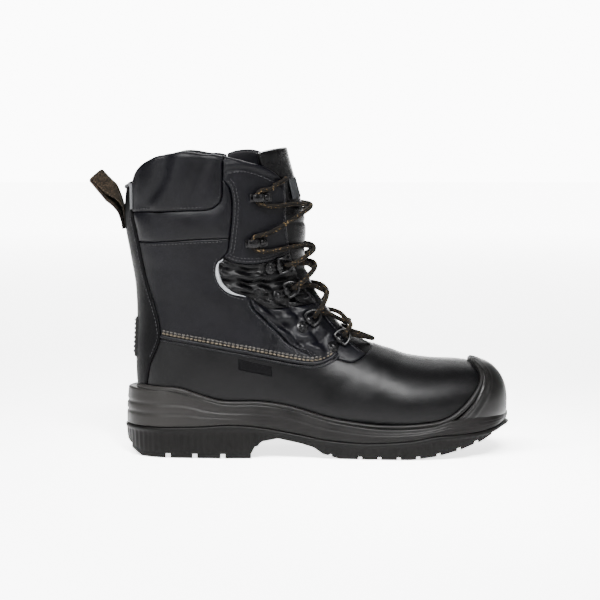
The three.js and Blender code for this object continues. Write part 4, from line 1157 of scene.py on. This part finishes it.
# stitched seams of the panels: line, distance to its left, height off the skin
PANEL_SEAMS = [(PAD_LINE, 2.4, 1.2), (BAND_LINE, -2.2, 0.35), (FACING_REAR, 2.0, 1.3),
               (FACING_REAR, 4.4, 1.3),
               (RIM_SEAM, -2.2, 1.25), (FACING_LOW, 2.2, 1.3), (FACING_LOW, 4.4, 1.3),
               (QUARTER_FRONT, 2.0, 0.7),
               (QUARTER_FRONT, -2.0, 0.25), (CRESCENT, -2.6, 0.2), (FACING_FRONT, -2.2, 1.3),
               (LOWER_FRONT, -2.2, 0.7), (BACK_LINE[1:8], -2.0, 1.1)]
for side, word in SIDES:
    bits = []
    for by, h, radius, sides in ((0, 0.7, 1.35, 10), (-3.0, 0.0, 0.9, 8)):
        p, n = line_on(shifted(SEAM, by) if by else SEAM, side, h)
        bits.append(sweep("cord", p, radius, LEATHER, sides, up=n))
    for by, thread, seed in ((2.3, THREAD_TAN, 40), (4.3, THREAD_GREY, 41)):
        bits.append(stitch_run(line_on(shifted(SEAM, by), side, 0.25), thread, 3.3, 2.7, 0.78, seed=seed))
    attach(join(f"seam_tape_{word}", bits), f"seam_tape_{word}")

    p, n = line_on(CRESCENT_PIPING, side, 0.7, 1.0)
    from_end = np.minimum(np.arange(len(p)), np.arange(len(p))[::-1])
    radius = np.linspace(1.9, 1.0, len(p)) * np.clip(from_end / 14.0, 0.25, 1)
    piping = sweep(f"piping_{word}", p, radius, SILVER, 12, flat=0.8, up=n)
    attach(piping, f"piping_{word}")

    runs = [stitch_run(line_on(shifted(line, by)[1:-1], side, h), THREAD_DARK, 2.9, 2.1, 0.4, lift=0.2,
                       seed=60 + k) for k, (line, by, h) in enumerate(PANEL_SEAMS)]
    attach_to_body(join(f"panel_stitching_{word}", runs), "boot")

# tag on the outer side
TAG_CORNERS = np.array([[-49, 78.3], [-22.6, 72], [-22.6, 64.2], [-49, 69.7]])
TAG_GRID = (30, 12)
FU, FV = (g.ravel()[:, None] for g in np.meshgrid(*(np.linspace(0, 1, n) for n in TAG_GRID), indexing="ij"))
top_e = TAG_CORNERS[0] + (TAG_CORNERS[1] - TAG_CORNERS[0]) * FU
low_e = TAG_CORNERS[3] + (TAG_CORNERS[2] - TAG_CORNERS[3]) * FU
u, p = locate(top_e * (1 - FV) + low_e * FV, -1)
d = np.minimum(np.minimum(FU, 1 - FU) * 26, np.minimum(FV, 1 - FV) * 8)[:, 0]
attach(plate("side_tag", u, p, 0.3 + 0.9 * rounded(d, 0.8), TAG_GRID, TAG), "side_tag")

# binding round the back of the collar
BIND = [[-131.2, 194], [-131.5, 204], [-131.7, 212]]
near, _ = line_on(BIND, -1, 1.3)
away, _ = line_on(BIND, 1, 1.3)
over = off_skin(u_top - 0.03, p_top, np.full(ACROSS, 1.1))
path = curve3([*near[::4], *over[::-1][1:-1:4], *away[::-1][::4]], 1.0)
attach(sweep("collar_binding", path, 1.4, GREY_TAPE, 10), "collar_binding")

# ---------------------------------------------------------------- pull loop
LOOP_MID = [[-139.4, 178], [-140.6, 186], [-142.2, 193.5], [-145.6, 200.4], [-150.4, 206.6], [-156, 212.6],
            [-162, 219.4]]
LOOP_HALF_WIDTH, LOOP_HALF_THICK = 10.0, 1.05
FOLD_R = 1.15
spine = smooth(LOOP_MID, 0.8)
across = -left_of(spine)
along = np.stack([-across[:, 1], across[:, 0]], -1)
# two layers with a gap between them, joined by a fold at the tip
gap_by = FOLD_R + 0.9 * np.sin(np.linspace(0, 1, len(spine))[:, None] * math.pi) ** 2
fold = np.array([spine[-1] + along[-1] * FOLD_R * math.sin(a) + across[-1] * FOLD_R * math.cos(a)
                 for a in np.linspace(0.3, math.pi - 0.3, 7)])
sp = np.vstack([spine + across * gap_by, fold, (spine - across * gap_by)[::-1]])
angles = [2 * math.pi * k / 28 for k in range(28)]
strip = [(math.copysign(abs(math.cos(a)) ** 0.35, math.cos(a)) * LOOP_HALF_WIDTH,
          math.copysign(abs(math.sin(a)) ** 0.6, math.sin(a)) * LOOP_HALF_THICK) for a in angles]
V, UV = [], []
for (x, z), (nx, nz), run in zip(sp, left_of(sp), travelled(sp)):
    # the strap turns about its length towards the tip
    turn = 0.52 * min(max((-141.5 - x) / 9, 0), 1)
    for y, h in strip:
        aside = 0.7 * y * math.sin(turn)
        V.append((x + nx * h + aside, y * math.cos(turn), z + nz * h + aside))
        UV.append((run / 100, y / 100))
pull_loop = add_mesh("pull_loop", V, tube_faces(len(sp), len(strip)), WEBBING, UV)
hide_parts("pull_loop")
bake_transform(pull_loop)

# ---------------------------------------------------------------- lacing hardware
RING_WIRE, RING_HALF, RING_REACH, RING_TILT, BARREL_R, LACE_R = 1.1, 5.6, 10.2, 0.39, 2.5, 1.8
BAR_Z = BARREL_R + 0.3  # the ring's bar above the leather
HOOK_EDGE = [[0.05, -1], [0.02, -1]]


def frame_at(x, z, side, edge, height):
    u, p = locate([[x, z]], side)
    n = normal(u, p)[0]
    e = np.array([edge[0], 0, edge[1]], float)
    along = e - n * np.dot(e, n)
    along /= np.linalg.norm(along)
    out = np.cross(along, n)
    if out[0] < 0:
        out, along = -out, -along
    return skin(u, p)[0] + n * height, out, along, n


def put(fr, pts):
    o, a, b, c = fr
    q = np.asarray(pts, float)
    return o + q[:, 0:1] * a + q[:, 1:2] * b + q[:, 2:3] * c


def lathe(fr, centre, profile, sides=24, name="rivet"):
    """Turned piece about the local Z through centre; profile is (r, z)"""
    angles = [2 * math.pi * k / sides for k in range(sides)]
    x, y, base = centre
    V = [(x + r * math.cos(a), y + r * math.sin(a), base + z) for r, z in profile for a in angles]
    return add_mesh(name, put(fr, V), tube_faces(len(profile), sides), BLACK_METAL)


STRIP = [(-1, -0.55), (-1, 0.55), (-0.88, 1), (0.88, 1), (1, 0.55), (1, -0.55), (0.88, -1), (-0.88, -1)]


def strap(fr, line, widths, thickness, name):
    """Bent metal strip: line of (x, z) local points, width at each"""
    p = np.array(line, float)
    widths = np.broadcast_to(widths, (len(p),))
    V = [(x + nx * b * thickness / 2, a * w / 2, z + nz * b * thickness / 2)
         for (x, z), (nx, nz), w in zip(p, left_of(p), widths) for a, b in STRIP]
    return add_mesh(name, put(fr, V), tube_faces(len(p), len(STRIP)), BLACK_METAL)


def hardware(name, parts, body="boot"):
    """Metal parts joined into one piece"""
    o = join(name, parts) if len(parts) > 1 else parts[0]
    o.data.shade_smooth()
    return attach(o, name, body)


DOME = [(2.2, 0.0), (2.25, 0.35), (1.9, 0.85), (1.2, 1.2), (0.5, 1.35), (0.05, 1.38)]
WASHER = [(4.6, 0), (4.7, 0.25), (4.3, 0.5), (0.1, 0.55)]
HOOK_DOME = [(2.6, 0), (2.7, 0.4), (2.3, 0.95), (1.4, 1.3), (0.05, 1.4)]
HOOK_ARM = [(1.2, 0.9), (1.25, 3.0), (0.9, 5.2), (-0.6, 6.5), (-3.4, 6.8), (-6.2, 6.6), (-7.6, 5.6)]
RING_PATH = [[0, -4.6], [0.25, -5.35], [1.1, -RING_HALF], [4, -RING_HALF], [8, -3.9], [RING_REACH, 0],
             [8, 3.9],
             [4, RING_HALF], [1.1, RING_HALF], [0.25, 5.35], [0, 4.6], [0, 2], [0, -2]]
ct, st = math.cos(RING_TILT), math.sin(RING_TILT)
ring_path = curve3([[a * ct, e, a * st + BAR_Z] for a, e in RING_PATH], 0.6, closed=True)
# folded strap round the bar, with its tail under a rivet
clip_arc = [(BARREL_R * 0.8 * math.cos(a), BAR_Z + BARREL_R * 0.8 * math.sin(a))
            for a in np.radians(np.linspace(-80, 190, 16))]
clip_line = smooth([(-10.5, 0.95), (-6, 0.95), (-2.4, 0.9)] + clip_arc, 0.5)
foot = smooth([(-8, 0.95), (0, 0.95), (10.2, 0.95)], 0.8)
foot_width = 6.2 + 2.4 * np.exp(-((foot[:, 0] - 6) / 3.4) ** 2)
arm = smooth(HOOK_ARM, 0.5)
arm_width = 6.6 - 1.4 * np.linspace(0, 1, len(arm)) ** 2
frames = {-1: [], 1: []}
for side, word in SIDES:
    for i, (x, z) in enumerate(RINGS):
        fr = frame_at(x, z, side, RING_EDGE[i], 0)
        frames[side].append(fr)
        place_name = f"{word}_{i + 1}"
        clip = [strap(fr, clip_line, 5.0, 0.9, "clip"), lathe(fr, (-CLIP_RIVET, 0, 0.3), WASHER, 28),
                lathe(fr, (-CLIP_RIVET, 0, 1.3), DOME)]
        hardware(f"ring_clip_{place_name}", clip)
        ring = sweep(f"d_ring_{place_name}", put(fr, ring_path), RING_WIRE, BLACK_METAL, 14, closed=True)
        hardware(f"d_ring_{place_name}", [ring], f"ring_{place_name}")
    for i, (x, z) in enumerate(HOOKS):
        fr = frame_at(x, z, side, HOOK_EDGE[i], 1.0)
        frames[side].append(fr)
        hardware(f"lace_hook_{word}_{i + 1}", [strap(fr, foot, foot_width, 1.1, "plate"),
                                               strap(fr, arm, arm_width, 1.15, "arm")])
        hardware(f"hook_rivet_{word}_{i + 1}",
                 [lathe(fr, (6, 0, 1.4), HOOK_DOME, name=f"hook_rivet_{word}_{i + 1}")])

# ---------------------------------------------------------------- lace
TIP = (RING_REACH * ct, RING_REACH * st + BAR_Z)
HAIR = RING_WIRE + LACE_R + 1.5
AROUND_HOOK = [(9, -6.9), (2.5, -5.9), (-0.8, -5.0), (-2.8, -2.7), (-3.2, 0), (-2.8, 2.7), (-0.8, 5.0),
               (2.5, 5.9),
               (9, 6.9)]
OVER, UNDER = 6.4, 2.9  # height of the lace's middle where it crosses the other half


def through_ring(fr, s):
    t, n = TIP
    return put(fr, [(t + 1.5, -1.2 * s, n - HAIR), (t - 2.6, -0.5 * s, n - 3.4), (t - HAIR, 0, n),
                    (t - 2.6, 0.5 * s, n + 3.4), (t + 1.5, 1.2 * s, n + HAIR)])


def round_hook(fr, s):
    h = 1.5 + 0.4 + LACE_R
    lift = [0.6] + [0] * (len(AROUND_HOOK) - 2) + [0.6]
    return put(fr, [(t, e * s, h + more) for (t, e), more in zip(AROUND_HOOK, lift)])


def crossing(a, b, height):
    """Three points between the ends a and b of two loops, which clear the tongue"""
    ends = []
    for q in (a, b):
        (u,), (p,) = locate([[q[0], q[2]]], math.copysign(1, q[1]))
        ends.append((u, p, np.dot(q - skin(u, p), normal(u, p))))
    (u0, p0, rise0), (u1, p1, rise1) = ends
    out = []
    for f, rise in ((0.22, rise0), (0.5, None), (0.78, rise1)):
        u, p = u0 + (u1 - u0) * f, p0 + (p1 - p0) * f
        bulged = float(bulge(skin(u, p)))
        h = height + bulged if rise is None else max((rise + height + bulged) / 2, 3.4 + bulged)
        out.append(off_skin(u, p, h))
    return out


def lace_half(side, heights):
    """The lace's way up from the lowest ring on one side, round each ring and hook in turn"""
    pts = []
    for i in range(6):
        fr = frames[side][i]
        s = 1 if fr[2][2] > 0 else -1
        turn = through_ring(fr, s) if i < 4 else round_hook(fr, s)
        if i:
            pts += crossing(pts[-1], turn[0], heights[i - 1])
        pts += list(turn)
        side = -side
    return pts


def tail(last):
    """From the top hook in over the corner of the facing"""
    u, p = locate([[-22, 213], [-17, 215.6], [-13.6, 217.6], [-12.4, 217]], -1 if last[1] < 0 else 1)
    return list(off_skin(u, p, np.array([4.0, 3.6, 2.2, -1.5])))


one = lace_half(-1, [OVER, UNDER, OVER, UNDER, OVER])
two = lace_half(1, [UNDER, OVER, UNDER, OVER, UNDER])
lowest = off_skin(8.6, 0.0, 3.2)
route = tail(one[-1])[::-1] + one[::-1] + [lowest] + two + tail(two[-1])
attach(sweep("lace", curve3(route, 0.75), LACE_R, LACE_MAT, 14), "lace")

# ---------------------------------------------------------------- pieces carried over from the CAD
inside_looks = {"footbed": FOOTBED, "insole_board": BOARD, "heel_counter": BOARD, "steel_toe_cap": STEEL,
                "shank": STEEL, "toe_cap_edge_strip": SCUFF}
for name, mat in inside_looks.items():
    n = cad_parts[name]
    n.data.materials.clear()
    n.data.materials.append(mat)
